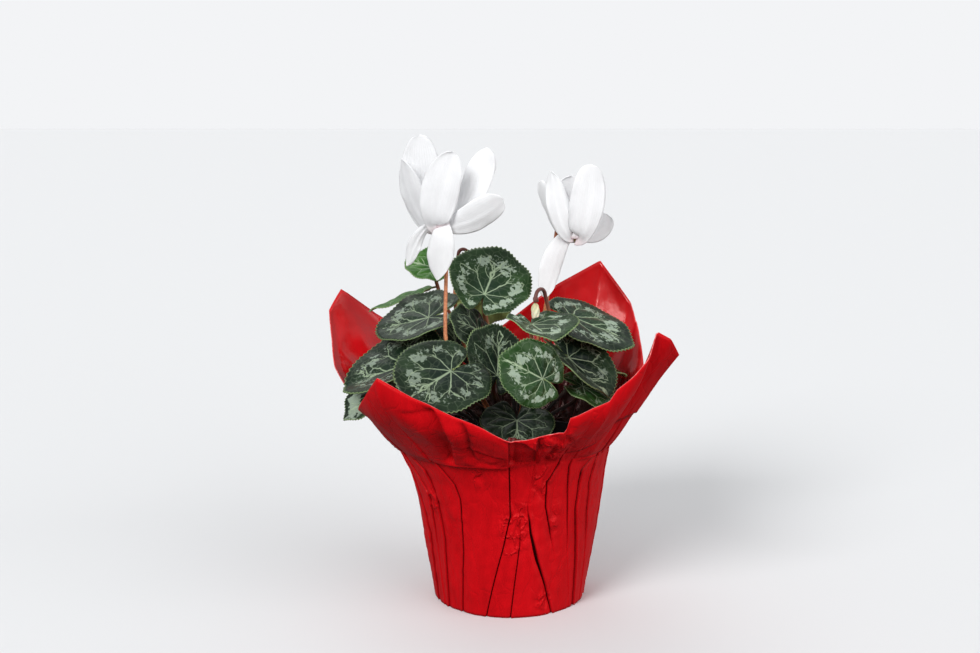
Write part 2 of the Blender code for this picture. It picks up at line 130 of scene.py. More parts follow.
def addObject(name, data):
    thing = bpy.data.objects.new(name, data)
    bpy.context.scene.collection.objects.link(thing)
    return thing


def copyNode(name):  # a CAD node's loose triangles, merged
    bm = bmesh.new()
    bm.from_mesh(nodes[name].data)
    bmesh.ops.remove_doubles(bm, verts=bm.verts, dist=0.00001)
    return bm


def addLayers(bm, *names):  # numbers that each vertex keeps for a material to read
    return [bm.verts.layers.float.new(name) for name in names]


def finishPiece(name, bm, materials, replaced=(), thickness=0.0, other=0, rim=0):
    mesh = bpy.data.meshes.new(name)
    for face in bm.faces:
        face.smooth = True
    bm.to_mesh(mesh)
    bm.free()
    for material in materials:
        mesh.materials.append(material)
    piece = addObject(name, mesh)
    if thickness:
        wall = piece.modifiers.new("wall", "SOLIDIFY")
        wall.thickness = thickness * mm
        wall.offset = -1.0
        wall.material_offset = other
        wall.material_offset_rim = rim
    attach(piece, "root")
    if replaced:
        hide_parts(*replaced)
    return piece


def smoothStep(low, high, x):
    t = min(max((x - low) / (high - low), 0.0), 1.0)
    return t * t * (3 - 2 * t)


def hump(x, reach, power=2):  # 1 at 0, falling off on both sides
    return math.exp(-((x / reach) ** power))


def direction(azimuth):
    return Vector((math.cos(math.radians(azimuth)), math.sin(math.radians(azimuth)), 0.0))


def bezier(points, count):
    a, b, c, d = points
    return [a * (1 - t) ** 3 + b * 3 * t * (1 - t) ** 2 + c * 3 * t * t * (1 - t) + d * t ** 3
            for t in np.linspace(0, 1, count)]


def readTable(table, place, period=None):  # the values that a table of (place, value, ...) has at a place
    places, *columns = zip(*table)
    values = [np.interp(place, places, column, period=period) for column in columns]
    return values if len(values) > 1 else values[0]


# camera, floor and light

studio = {
    "cameraPlace": (-0.0098, -0.663, 0.260),
    "lookDown": 10.5,
    "lens": 50.0,
    "floor": "#D7D8D9",
    "wall": "#F3F4F6",
    # how much light the room gives, from straight below, past the height of the eye, to straight above
    "room": ((0.0, 0.12), (0.45, 0.15), (0.55, 0.30), (0.75, 0.55), (1.0, 0.80)),
    # name: where it comes from, width in degrees, strength
    "suns": {
        "windowSun": ((-0.72, -1.0, 0.78), 26.0, 2.5),
        "fillSun": ((1.0, -0.75, 0.35), 60.0, 1.8),
        "backSun": ((-0.3, 0.8, 1.0), 40.0, 0.5),
    },
}


def makeStudio():
    scene = bpy.context.scene
    camera = addObject("camera", bpy.data.cameras.new("camera"))
    camera.location = studio["cameraPlace"]
    camera.rotation_euler = (math.radians(90 - studio["lookDown"]), 0, 0)
    camera.data.lens = studio["lens"]
    camera.data.sensor_width = 36.0
    camera.data.clip_start = 0.05
    scene.camera = camera

    paint, _ = newMaterial("paintedTable", {"Base Color": hexColour(studio["floor"]), "Roughness": 0.9,
                                            "Specular IOR Level": 0.0})
    bm = bmesh.new()
    bmesh.ops.create_grid(bm, x_segments=1, y_segments=1, size=6.0)
    mesh = bpy.data.meshes.new("floor")
    bm.to_mesh(mesh)
    bm.free()
    mesh.materials.append(paint)
    floor = addObject("floor", mesh)
    for rays in ("diffuse", "glossy", "shadow"):  # it throws no more light up than a dark table would
        setattr(floor, "visible_" + rays, False)

    world = bpy.data.worlds.new("softRoom")
    scene.world = world
    world.use_nodes = True
    room = world.node_tree.nodes["Background"]  # the wall is seen brighter than the room lights the plant
    up = addNode(world, "SeparateXYZ", addNode(world, "TexCoord", out="Generated"), out="Z")
    height = addNode(world, "MapRange", up, -1.0)
    glow = addNode(world, "ValToRGB", height, stops=studio["room"])
    room.inputs["Color"].default_value = hexColour(studio["wall"])
    world.node_tree.links.new(glow, room.inputs["Strength"])
    wall = addNode(world, "Background", {"Color": hexColour(studio["wall"]), "Strength": 1.0})
    seen = addNode(world, "LightPath", out="Is Camera Ray")
    both = addNode(world, "MixShader", seen, room.outputs[0], wall)
    world.node_tree.links.new(both, world.node_tree.nodes["World Output"].inputs["Surface"])
    scene.view_settings.view_transform = "Standard"

    for name, (place, width, strength) in studio["suns"].items():
        lamp = bpy.data.lights.new(name, "SUN")
        lamp.angle = math.radians(width)
        lamp.energy = strength
        stand = addObject(name, lamp)
        stand.location = place
        stand.rotation_euler = Vector(place).to_track_quat("Z", "Y").to_euler()
    print("studio: camera, floor,", len(studio["suns"]), "suns")


# pot cover: one sheet of red film, knife pleated round the pot

cover = {
    "wall": 0.45,
    "rows": (5, 56, 40),  # across the floor, up the wall, up the collar
    "base": 37.9,
    "body": ((0, 38.2), (24, 42.2), (50, 46.2), (68, 49.4), (80, 53.0), (81.5, 53.5)),  # height, radius
    "rim": 81.5,
    "overPot": ((0, 35.8), (70, 47.0), (71, 48.2)),  # height, least radius: outside the nursery pot
    "round": 45.0,  # mean radius, which turns mm along the wall into degrees
    "bulge": 5.0,  # the sheet stands off the pot on the left
    "tuck": 3.0,  # and is drawn in on the right
    # how far the collar's fold hangs out over the pleats, by azimuth
    "lip": ((-180, 0.8), (-160, 2.0), (-124, 2.6), (-118, 3.2), (-94, 2.8), (-89, 0.5), (-84, 0.0),
            (-54, 0.0), (-46, 1.8), (-30, 1.8), (-12, 0.6), (60, 0.4), (150, 0.6)),
    "lipSteps": (78.6, 79.6, 80.1, 80.5, 80.9),  # heights of the rows that turn the fold
    # how far the collar's upper part bellies out, by azimuth
    "belly": ((-180, 0.0), (-168, -2.0), (-152, -1.0), (-142, 1.5), (-132, 5.0), (-122, 5.5), (-112, 3.0),
              (-70, 3.0), (-50, 3.0), (-38, 0.5), (-28, -1.5), (0, -4.5), (20, -1.0), (40, 3.0), (150, 3.0)),
    "bellyDepth": 9.5,
    "collarRise": 1.12,
    "collarFoot": (50.0, 53.0),  # radii that its slope and its height along the film are worked out from
    # depth and size of the crumples, the sharp crests, the soft waves and the collar's broad facets
    "wallRelief": ((0.7, 6.5), (0.5, 7.0), (0.6, 12.0)),
    "collarRelief": ((1.1, 8.0), (0.4, 8.0), (0.7, 18.0), (0.9, 22.0)),
    "proud": 0.9,  # the most that the wall's relief stands out
    # edge of the sheet: azimuth, radius, height
    "edge": (
        (-167, 63, 91), (-158, 73, 98), (-151, 82, 105), (-146, 85, 108.5), (-139, 88.5, 115.5),
        (-131, 91.5, 127), (-123, 86.5, 120.5), (-115, 81, 114), (-101, 74, 105), (-93, 72.5, 99.5),
        (-90, 72, 98), (-85, 71.5, 98.5), (-77, 72, 101), (-70.6, 73, 101.5), (-70, 75, 108.5),
        (-60, 78, 113.5), (-56.8, 80, 115.6), (-55, 82, 121), (-51, 86.5, 127), (-47, 90, 135),
        (-44, 88.5, 141), (-42, 88, 146), (-38, 91.5, 142), (-32, 91, 133), (-26, 82, 124.5),
        (-20, 75, 116.5), (-6, 72, 111.5), (8, 68, 106), (24, 74, 126), (30, 77, 133),
        (32, 79, 131), (38, 82, 141), (51, 78, 162), (69, 75, 148), (79, 74, 138),
        (98, 76, 118), (112, 80, 106), (124, 89, 116), (136, 101, 132), (146, 108, 147),
        (152, 108, 137), (158, 100, 123), (165, 93, 112), (170, 84, 103), (179, 64, 93),
    ),
    # pleats that show from the front: (height, azimuth) from the base up, depth low down and high up, width,
    # then how much wider it gapes at mid height
    "pleats": (
        (((0, -158), (39, -153), (60, -159), (80, -170)), 1.2, 1.3, 0.22, 0),
        (((0, -142), (38, -136.5), (58, -138), (73, -141), (80, -149)), 1.5, 1.5, 0.25, 0),
        (((0, -147), (60, -144.5), (68, -151), (80, -161)), 0.3, 1.3, 0.2, 0),
        (((0, -128), (32, -122), (61, -120), (69, -122), (80, -130)), 0.9, 1.1, 0.2, 0),
        (((0, -108), (37, -95), (54, -90.5), (80, -91.2)), 1.3, 1.1, 0.2, 0),
        (((0, -89.5), (39, -84), (60, -84.5), (80, -84)), 0.9, 0.0, 0.2, 0),
        (((0, -57), (30, -71.5), (45, -77), (58, -80), (80, -78)), 2.2, 0.3, 0.25, 1.1),
        (((0, -46), (30, -60), (58, -69), (71, -69.5), (80, -64)), 0.0, 1.5, 0.25, 0),
        (((0, -40.5), (30, -50), (64, -55), (78, -57), (80, -56)), 0.2, 1.0, 0.2, 0),
        (((0, -34), (54, -46.5), (74, -46), (80, -37)), 2.0, 1.6, 0.6, 0),
        (((0, -24), (50, -35), (66, -37), (76, -35), (80, -32)), 0.3, 1.2, 0.2, 0),
    ),
    "turnAt": -88,  # pleats beyond this azimuth open to the other side
    "through": -91.2,  # the pleat that ends at this azimuth runs on up to the cut edge
    "gapeAt": (34.0, 14.0),  # height of the widest gape, its reach
    "backPleats": (-20, 180, 15.5),  # the rest of the way round: from, to, mean spacing
    "apart": 2.2,  # degrees that two pleats keep between them
    "brinks": (0.2, 0.35),  # how far the film takes to turn into a groove, and out of it
    "fold": 3.4,  # how far from a pleat's edge the lower layer comes back up
    # flat facets up the collar: azimuth of each crease, how far it stands out
    "creases": (
        (-176, 0.8), (-166, -1.2), (-157, 1.2), (-148, -1.0), (-138, 0.5), (-128, 0.2), (-121, 1.2),
        (-117, -1.2), (-109, 0.9), (-104.5, -1.0), (-97, 0.7), (-91, 1.5), (-89, -1.4), (-82, 0.2),
        (-77, 1.2), (-73, -1.0), (-67, 1.2), (-62, -0.6), (-56, 0.3), (-49, 0.2), (-40, 0.4), (-28, -0.4),
        (-14, 0.8), (0, -1.2), (12, 1.3), (24, -0.1), (38, 1.0), (50, -0.4), (64, 1.2), (78, -1.2),
        (92, 1.3), (104, -1.4), (117, 1.1), (130, -0.9), (145, 0.7), (157, -1.3), (168, 1.3),
    ),
    "creaseDepth": 0.7,
    "creaseRise": 0.5,  # share of a crease's depth that it already has at the rim
    # folds up the collar: (azimuth, share of the way up) along each, depth, reach, side that sinks, painted
    # shade along it
    "folds": (
        (((-116, 0.0), (-116, 0.14), (-112.5, 0.58), (-113.5, 0.82), (-115, 0.93)), 3.8, 6.0, -1, 0.35),
        (((-124, 0.84), (-119.5, 0.9), (-115, 0.93)), 1.2, 3.0, 1, 0.0),
        (((-106, 0.2), (-106, 0.46), (-105, 0.78), (-106, 0.93)), 2.4, 2.2, -1, 0.35),
        (((-91.2, 0.0), (-91.2, 0.9)), 2.2, 3.5, 1, 0.0),
        (((-77.5, 0.12), (-80, 0.66), (-85, 0.9), (-90.5, 0.96)), 2.2, 5.0, -1, 0.0),
        (((-80, 0.7), (-80.5, 0.92)), 2.0, 1.5, 1, 0.6),
        (((-107, 0.42), (-99, 0.36), (-93, 0.44)), 2.2, 3.0, 1, 0.0),
        (((-67, 0.55), (-72, 0.80), (-76, 0.95)), 1.6, 3.0, 1, 0.0),
        (((-62, 0.2), (-51.5, 0.22), (-47, 0.30), (-40.5, 0.34), (-32, 0.44)), 1.5, 5.0, 1, 1.0),
        (((179, 0.62), (168, 0.60), (155, 0.42), (146, 0.40)), 4.5, 8.0, 1, 0.0),
        (((20, 0.3), (16, 0.7), (12, 1.0)), 1.5, 6.0, 1, 0.0),
        (((60, 0.2), (70, 0.6), (66, 1.0)), 1.5, 7.0, -1, 0.0),
    ),
    "foldSeen": 14,  # degrees from its points past which a fold no longer counts
    # crumples up the collar: azimuth, share, reach round, reach up, strength
    "knots": (
        (-70, 0.45, 6, 0.30, 2.6), (-79, 0.85, 6, 0.18, 1.5), (-166, 0.5, 12, 0.3, 0.9),
        (168, 0.35, 16, 0.25, 1.3), (-100, 0.15, 10, 0.15, 0.6), (10, 0.5, 14, 0.3, 1.0),
        (95, 0.5, 25, 0.4, 0.8),
    ),
    "smoothCorners": ((-137, 15), (-41, 23)),  # both front corners: azimuth, reach
    # crumples on the pleated wall: azimuth, height, reach round, reach up, strength
    "crumples": (
        (-88, 50, 8, 10, 2.6), (-90, 37, 5, 2.5, 2.4), (-141, 57, 4, 7, 1.8), (-107, 74, 3, 5, 2.4),
        (-73, 73, 5, 8, 2.4), (-63, 50, 5, 12, 0.9), (-66, 8, 7, 5, 1.6), (-30, 60, 8, 20, 0.7),
        (-120, 40, 12, 20, 0.5), (40, 50, 20, 25, 0.8), (120, 60, 25, 20, 0.8), (-160, 30, 14, 25, 0.6),
    ),
    "fineStep": (-175, -20, 0.95),  # degrees between columns from one azimuth to another
    "coarseStep": 2.4,
}


def coverPleats():  # every pleat: its path, depths, width, gape and the side that its fold opens to
    rows = [(*row, 1 if row[0][1][1] < cover["turnAt"] else -1) for row in cover["pleats"]]
    draw = random.Random(5)
    azimuth, end, pitch = cover["backPleats"]
    azimuth += 10
    while azimuth < end - 4:
        lean = draw.uniform(-7, 7)
        turn = draw.uniform(-2, 2)
        path = ((0, azimuth + lean), (40, azimuth), (65, azimuth + turn), (80, azimuth - lean / 2))
        rows.append((path, draw.uniform(0.8, 1.8), draw.uniform(0.8, 1.6), draw.uniform(0.4, 0.7), 0,
                     1 if azimuth > 90 else -1))
        azimuth += pitch * draw.uniform(0.8, 1.2)
    rows.sort(key=lambda row: row[0][-1][1])
    return [dict(zip(("path", "low", "high", "width", "gape", "side"), row)) for row in rows]


def pleatTrack(pleats, height):  # azimuths of all pleats at one height, kept in order and apart
    track = [readTable(pleat["path"], height) for pleat in pleats]
    for i in range(1, len(track)):
        track[i] = max(track[i], track[i - 1] + cover["apart"])
    return track


def columnPlan(pleats, tracks):  # four columns in each groove, and what the widest gap needs between two
    plan = []
    low, high, fine = cover["fineStep"]
    for which in range(len(pleats)):
        after = (which + 1) % len(pleats)
        gap = max((track[after] - track[which]) % 360 for track in tracks)
        middle = (tracks[-1][which] + gap / 2 + 180) % 360 - 180
        between = math.ceil(gap / (fine if low < middle < high else cover["coarseStep"]))
        plan += [(which, part, 0.0) for part in range(4)]
        plan += [(which, 4, (i + 1) / (between + 1)) for i in range(between)]
    return plan


# where a column stands at one height: its azimuth, then its groove, which is the arc in mm from the nearest
# pleat's edge, the width there and the pleat itself
def columnPlace(column, pleats, track, height):
    which, part, share = column
    after = (which + 1) % len(pleats)
    here, there = track[which], track[after]
    if there < here:
        there += 360
    level, reach = cover["gapeAt"]
    into, out = cover["brinks"]
    widths, grooves = [], []
    for pleat in (pleats[which], pleats[after]):
        width = pleat["width"] + pleat["gape"] * hump(height - level, reach)
        widths.append(width)
        groove = (-into, 0.0, width, width + out)
        grooves.append(groove if pleat["side"] > 0 else [-arc for arc in reversed(groove)])
    toDegrees = math.degrees(1.0 / cover["round"])
    if part < 4:
        return here + grooves[0][part] * toDegrees, (grooves[0][part], widths[0], pleats[which])
    left = here + grooves[0][3] * toDegrees
    right = there + grooves[1][0] * toDegrees
    azimuth = left + (right - left) * share
    if azimuth - here < there - azimuth:
        return azimuth, ((azimuth - here) / toDegrees, widths[0], pleats[which])
    return azimuth, ((azimuth - there) / toDegrees, widths[1], pleats[after])


def crumple(point, size, seed):  # flat facets between sharp creases, from 0 to about 1
    place = Vector((point.x, point.y, point.z * 0.8)) / size + Vector((seed, seed, seed))
    distances, _ = noise.voronoi(place)
    return min(distances[1] - distances[0], 0.6) / 0.6


def ridges(point, size):  # sharp wandering crests
    place = Vector((point.x, point.y, point.z * 0.7)) / size
    return noise.ridged_multi_fractal(place, 1.0, 2.0, 3, 1.0, 1.5) - 0.8


def crumpledAt(spots, azimuth, level, rough):  # how crumpled the film is, from the crumples near by
    for where, middle, wide, tall, strength in spots:
        near = (azimuth - where + 180) % 360 - 180
        rough += strength * hump(near, wide) * hump(level - middle, tall)
    return rough


def bodyPoint(azimuth, height, dent=0.0):
    out = direction(azimuth)
    share = height / cover["rim"]
    bulge = cover["bulge"] * max(0.0, -out.x) * share ** 6 - cover["tuck"] * max(0.0, out.x) * share ** 4
    lip = readTable(cover["lip"], azimuth, 360) * smoothStep(79.4, 80.5, height)
    radius = max(readTable(cover["body"], height) + bulge + lip - dent, readTable(cover["overPot"], height))
    return out * radius + Vector((0, 0, height))


# painted shade: the second value darkens the film on the floor of each pleat's groove
def grooveDent(height, arc, width, pleat):  # how deep the film lies in and beside a groove, and how dark
    into, out = cover["brinks"]
    depth = pleat["low"] + (pleat["high"] - pleat["low"]) * smoothStep(25, 65, height)
    along = arc * pleat["side"]
    if along < 0:  # the upper layer's edge stands proud
        share = opened = smoothStep(-into, 0.0, along)
        layer = -0.35 * smoothStep(-2.5, -0.4, along) * (1 - share)
    else:  # behind the groove the lower layer comes back up
        opened = smoothStep(width + out, width, along)
        share = 0.35 * smoothStep(cover["fold"] + width, width, along) + 0.65 * opened
        layer = 0.0
    return depth * share + layer * min(depth, 1.0), smoothStep(0.25, 0.9, depth) * opened


# painted shade: a fold also lays a line of darkening along its sunk side
def foldDent(azimuth, share, tall):  # how far the folds of a collar so many mm tall sink and darken the sheet
    dent = shade = 0.0
    stretch = Vector((1.2, tall))  # mm in a degree and in the whole share
    here = Vector((azimuth, share)) * stretch
    for path, depth, reach, side, paintedShade in cover["folds"]:
        if min(abs(azimuth - place) for place, _ in path) > cover["foldSeen"]:
            continue
        parts = []
        for start, end in zip(path, path[1:]):
            start = Vector(start) * stretch
            step = Vector(end) * stretch - start
            along = (here - start).dot(step) / step.length_squared
            off = here - start - step * min(max(along, 0.0), 1.0)
            beyond = max(-along, along - 1.0, 0.0) * step.length
            parts.append((off.length, (step.x * off.y - step.y * off.x) / step.length, beyond))
        gap, left, beyond = min(parts, key=lambda part: part[0])
        sunk = depth * math.exp(-gap / reach)
        proud = -0.3 * depth * math.exp(-gap / 1.5)
        fades = hump(beyond, max(2.5, 0.8 * reach))
        dent += (proud + (sunk - proud) * smoothStep(-0.7, 0.7, -left * side)) * fades
        if left * side < 0.8:
            shade = max(shade, paintedShade * hump(gap + left * side * 0.2 - 0.4, 1.0) * fades)
    return dent, shade


# a spot on each part of the sheet: its point, the painted shade of its groove and how wrinkled it is

def floorSpot(azimuth, share, groove):
    dent, paintedShade = grooveDent(0, *groove)
    return direction(azimuth) * (cover["base"] * share - dent * smoothStep(0.5, 1.0, share)), paintedShade, 0.0


def wallSpot(azimuth, height, groove):
    dent, paintedShade = grooveDent(height, *groove)
    spot = bodyPoint(azimuth, height)
    rough = crumpledAt(cover["crumples"], azimuth, height, 0.3)
    (crumples, size), (crests, crestSize), (waves, waveSize) = cover["wallRelief"]
    dent += crumples * min(rough, 1.2) * (0.7 - crumple(spot, size, 3.0)) * smoothStep(0, 6, height)
    dent -= crests * max(rough - 0.5, 0.0) * ridges(spot, crestSize)
    dent += waves * noise.noise(Vector((spot.x, spot.y, spot.z / 5)) / waveSize)
    dent *= smoothStep(81.8, 80.0, height)
    paintedShade *= smoothStep(81.0, 79.0, height) if groove[2]["high"] < 1.2 else 1.0
    return bodyPoint(azimuth, height, max(dent, -cover["proud"])), paintedShade, smoothStep(0.5, 1.8, rough)


def collarSpot(azimuth, share, groove):
    rim, pleat = cover["rim"], groove[2]
    slopeFoot, foot = cover["collarFoot"]
    radius, crest = readTable(cover["edge"], azimuth, 360)
    point = bodyPoint(azimuth, rim).lerp(direction(azimuth) * radius, share)
    point.z = rim + (crest - rim) * share ** cover["collarRise"]
    outward = (direction(azimuth) * (crest - rim) - Vector((0, 0, radius - slopeFoot))).normalized()
    tall = math.hypot(crest - rim, radius - foot)
    settle = smoothStep(1.0, 0.72, share)  # the cut edge runs straighter than the creases
    ends = smoothStep(1.0, 0.93, share)
    dent, paintedShade = grooveDent(rim, *groove)
    if pleat["path"][-1][1] == cover["through"]:
        dent *= 0.9 * smoothStep(1.0, 0.9, share)
        paintedShade *= 0.6 * smoothStep(1.0, 0.92, share)
    else:
        dent *= 0.5 * (1 - share) ** 3
        paintedShade *= (1 - share) ** 4 if pleat["high"] > 1.2 else 0.0
    rise = cover["creaseRise"] + (1 - cover["creaseRise"]) * smoothStep(0.0, 0.45, share)
    dent -= readTable(cover["creases"], azimuth, 360) * rise * (0.35 + 0.65 * settle) * cover["creaseDepth"]
    azimuth = (azimuth + 180) % 360 - 180
    calm = max(hump(azimuth - corner, reach, 4) for corner, reach in cover["smoothCorners"])
    rough = crumpledAt(cover["knots"], azimuth, share, 0.25) * (1 - 0.8 * calm)
    (crumples, size), (crests, crestSize), (waves, waveSize), (facets, facetSize) = cover["collarRelief"]
    dent += crumples * rough * (0.5 - crumple(point, size, 7.0)) * (0.3 + 0.7 * settle)
    dent -= crests * max(rough - 0.5, 0.0) * ridges(point, crestSize) * settle
    dent += facets * (1 - crumple(point, facetSize, 2.0)) * settle * (1 - calm)
    dent += waves * noise.noise(point / waveSize) * settle * (1 - 0.6 * calm)
    fold, shade = foldDent(azimuth, share, tall)
    dent += fold * ends
    belly = np.mean(readTable(cover["belly"], (azimuth - 5, azimuth, azimuth + 5), 360))
    dent -= belly * smoothStep(12, 40, tall) * cover["bellyDepth"] * share ** 3 * (1 - share)
    point -= outward * (dent - 0.5) * smoothStep(0.0, 0.06, share)
    return point, max(paintedShade, shade * ends), smoothStep(0.5, 1.8, rough)


def makeCover(outsideFilm, insideFilm, cutEdge):
    pleats = coverPleats()
    floorRows, wallSteps, collarRows = cover["rows"]
    heights = [cover["lipSteps"][0] * i / wallSteps for i in range(wallSteps)]
    heights += [*cover["lipSteps"], cover["rim"]]
    wallRows = len(heights) - 1
    rows = floorRows + wallRows + collarRows
    tracks = [pleatTrack(pleats, height) for height in heights]
    plan = columnPlan(pleats, tracks)
    bm = bmesh.new()
    bmesh.ops.create_grid(bm, x_segments=len(plan), y_segments=rows, size=1.0)
    pleatDark, innerShade, crumpled = addLayers(bm, "pleatDark", "innerShade", "crumpled")
    for vert in bm.verts:
        column = round((vert.co.x + 1) / 2 * len(plan)) % len(plan)
        row = round((vert.co.y + 1) / 2 * rows) - floorRows
        level = min(max(row, 0), wallRows)
        azimuth, groove = columnPlace(plan[column], pleats, tracks[level], heights[level])
        if row < 0:
            point, paintedShade, wrinkled = floorSpot(azimuth, 1 - (-row / floorRows) ** 1.2, groove)
        elif row <= wallRows:
            point, paintedShade, wrinkled = wallSpot(azimuth, heights[row], groove)
        else:
            point, paintedShade, wrinkled = collarSpot(azimuth, (row - wallRows) / collarRows, groove)
        vert.co = point * mm
        # painted shade in the grooves and along the folds
        vert[pleatDark] = paintedShade
        vert[crumpled] = wrinkled
        # painted shade: the inside of the sheet darkens towards near black from about 117 mm down to 92 mm
        vert[innerShade] = smoothStep(117, 92, point.z)
    bmesh.ops.remove_doubles(bm, verts=bm.verts, dist=0.00002)
    bmesh.ops.recalc_face_normals(bm, faces=bm.faces)
    floor = [face for face in bm.faces if face.calc_center_median().z < mm]
    if sum(face.normal.z * face.calc_area() for face in floor) > 0:
        bmesh.ops.reverse_faces(bm, faces=bm.faces)
    piece = finishPiece("pleatedCover", bm, [outsideFilm, insideFilm, cutEdge],
                        ["pot_cover"], cover["wall"], other=1, rim=2)
    print("cover:", len(pleats), "pleats,", len(plan), "columns,", len(piece.data.polygons), "faces")


def filmMaterials():
    # matt side of dyed foil paper: saturated red, broad weak gloss, fine tooth, faint streaks down the pleats
    outside, add = newMaterial("dyedFoilPaperMatt", {
        "Roughness": 0.42, "IOR": 1.5, "Specular IOR Level": 0.3, "Specular Tint": hexColour("#FF8A86"),
    })
    place = add("TexCoord", out="Object")
    streaks = add("Mapping", {"Vector": place, "Scale": (1.0, 1.0, 0.12)})
    scuff = add("TexNoise", streaks, None, 260.0, 5.0, 0.6)
    cloud = add("TexNoise", place, None, 38.0, 3.0)
    # creases of a few tenths of a millimetre: long ones down the pleats, about 6 mm apart
    tooth = add("TexNoise", place, None, 1400.0, 2.0)
    bent = add("TexNoise", place, None, 60.0, 2.0, out="Color")
    drawn = add("Mapping", {"Vector": place, "Scale": (1.0, 1.0, 0.16)})
    wandering = add("Mix", {0: 0.008, 4: drawn, 5: bent}, data_type="VECTOR", out=1)
    facets = add("TexVoronoi", wandering, None, 130.0, feature="DISTANCE_TO_EDGE")
    crease = add("MapRange", facets, 0.0, 0.06)
    ribbed = add("Mix", 0.5, None, add("Mix", 0.6, None, tooth, crease), scuff)
    # where the film is crumpled, sharp crests wander between these, 2 to 5 mm apart and a little upright
    upright = add("Mapping", {"Vector": place, "Scale": (1.0, 1.0, 0.6)})
    crests = add("TexNoise", upright, None, 260.0, 2.0, 0.4, 2.0, 1.0, 1.5, noise_type="RIDGED_MULTIFRACTAL",
                 normalize=False)
    wrinkled = add("Attribute", attribute_name="crumpled", out="Fac")
    relief = add("Math MULTIPLY_ADD", add("MapRange", crests, 0.8, 1.7, 0.0, 2.6), wrinkled, ribbed)
    # painted shade: grooves and folds are darkened towards near-black red by the value each vertex keeps
    coat(outside, add("Mix", 0.5, None, cloud, scuff), ((0.3, "#AE0810"), (0.5, "#C40A13"), (0.7, "#D00E17")),
         [("pleatDark", "#340204")], relief, 0.7, 0.0006)

    # bright side of the same foil paper: pure red lacquer with long soft reflections, with painted shade
    # darkening it low down
    inside, add = newMaterial("dyedFoilPaperGloss", {
        "Roughness": 0.22, "IOR": 1.5, "Specular IOR Level": 0.7, "Specular Tint": hexColour("#FFD0CC"),
    })
    place = add("TexCoord", out="Object")
    cloud = add("TexNoise", place, None, 45.0, 3.0)
    ripple = add("TexNoise", place, None, 110.0, 2.0)
    coat(inside, cloud, ((0.3, "#B8060E"), (0.55, "#D00A14"), (0.75, "#DC121C")), [("innerShade", "#1A0504")],
         ripple, 0.3, 0.001)

    # bare paper fibre that shows along the cut: a thin paler line
    cut, add = newMaterial("cutPaperEdge", {"Roughness": 0.8})
    fibre = add("TexNoise", add("TexCoord", out="Object"), None, 700.0)
    coat(cut, fibre, ((0.35, "#C8383C"), (0.7, "#E8827E")))
    return outside, inside, cut


# leaves: heart-shaped blades with a silver pattern

leafPlan = {
    "wall": 0.5,
    "around": 144,
    "out": 15,
    "tooth": 0.017,
    "veinStep": 46.0,  # degrees between the side veins
    "veinCurl": 0.12,
    "forkFrom": 0.46,
    "forkOpens": 62.0,  # degrees by which a fork opens over one blade length
    "midribWings": (0.30, 0.52),  # where the midrib's two pairs of branches leave it
    "wingSlope": 0.75,
    # joint, heading and pitch of the tip, roll, length, width, fold, droop, then light green, or painted
    # shade where below 0, silver, and how far the veins' meeting point lies from the joint, along and across
    "leaves": (
        ((-11, 0, 157), 67, 40, 26, 25, 1.00, 0.13, 0.05, 0.15, 1.0, (-5, 0)),
        ((-40, 0, 143), 171, -17, -21, 27, 1.00, 0.10, 0.00, -0.3, 0.85, (0, 2.5)),
        ((-51.5, 38, 147), 168, -19, -1, 22.5, 0.95, 0.04, 0.04, 1.0, 0.2, (0, 0)),
        ((-50, -20, 122), 167, -20, -18, 33, 1.00, 0.26, 0.01, -0.1, 0.8, (0, 0)),
        ((-28, -43, 124), 223, -17, -30, 28, 0.98, 0.10, 0.05, -0.35, 0.8, (0, 0)),
        ((-64, -13, 109), 190, -38, -22, 22, 0.75, 0.10, 0.01, 0.0, 2.4, (0, 0)),
        ((-15.5, -10, 137), 225, 31, -56, 17, 0.95, 0.12, 0.20, -0.4, 0.4, (0, 0)),
        ((-8, -23, 122), 80, 44, 31, 23, 0.84, 0.22, 0.00, -0.1, 0.7, (-4.5, -2.5)),
        ((14, -25, 143), 286, -9, -1, 21, 0.97, 0.28, 0.00, 0.1, 1.1, (0, -4)),
        ((35, 9, 139), 357, -21, 14, 29, 1.00, 0.05, 0.03, 0.0, 1.0, (-4, 0)),
        ((29, -16, 124), 338, -39, 5, 26, 1.00, 0.34, 0.00, -0.1, 0.6, (-1, 0)),
        ((13, -47, 122), 197, 31, -73, 20, 0.95, 0.15, 0.11, 0.3, 1.0, (-2, 0)),
        ((35, -23, 112), 8, -17, 16, 18, 1.00, 0.06, 0.11, 0.3, 0.6, (0, 0)),
        ((3, -34, 98), 270, -24, -4, 21, 1.00, 0.17, 0.00, -0.6, 0.3, (0, 0)),
        ((-38.5, 36, 161.5), 165, 14, -27, 15.5, 1.05, 0.21, 0.05, 1.0, 0.0, (0, 0)),
        ((-27, 31, 120), 105, 44, 0, 18, 1.00, 0.11, 0.05, -0.6, 0.3, (0, 0)),
        ((-13, 38, 144), 94, -50, 4, 19, 1.00, 0.13, 0.05, 0.0, 0.6, (0, 0)),
        ((16, 29, 121), 53, -11, -6, 27, 1.00, 0.12, 0.05, 0.0, 0.9, (0, 0)),
        ((35.8, 12.6, 116.4), 22, -17, -1, 25, 1.00, 0.12, 0.03, 0.3, 0.8, (0, 0)),
        ((-50, 17, 112), 173, -13, 4, 24, 1.00, 0.10, 0.02, 0.1, 1.0, (0, 0)),
        ((6, 40, 107), 87, -52, 9, 17, 1.00, 0.14, 0.09, 0.2, 0.8, (0, 0)),
    ),
}


def leafFrame(leaf):
    heading, pitch, roll = (math.radians(value) for value in leaf[1:4])
    tip = Vector((math.cos(heading) * math.cos(pitch), math.sin(heading) * math.cos(pitch), math.sin(pitch)))
    level = Vector((-math.sin(heading), math.cos(heading), 0.0))
    side = level * math.cos(roll) + tip.cross(level) * math.sin(roll)
    return tip, side, tip.cross(side)


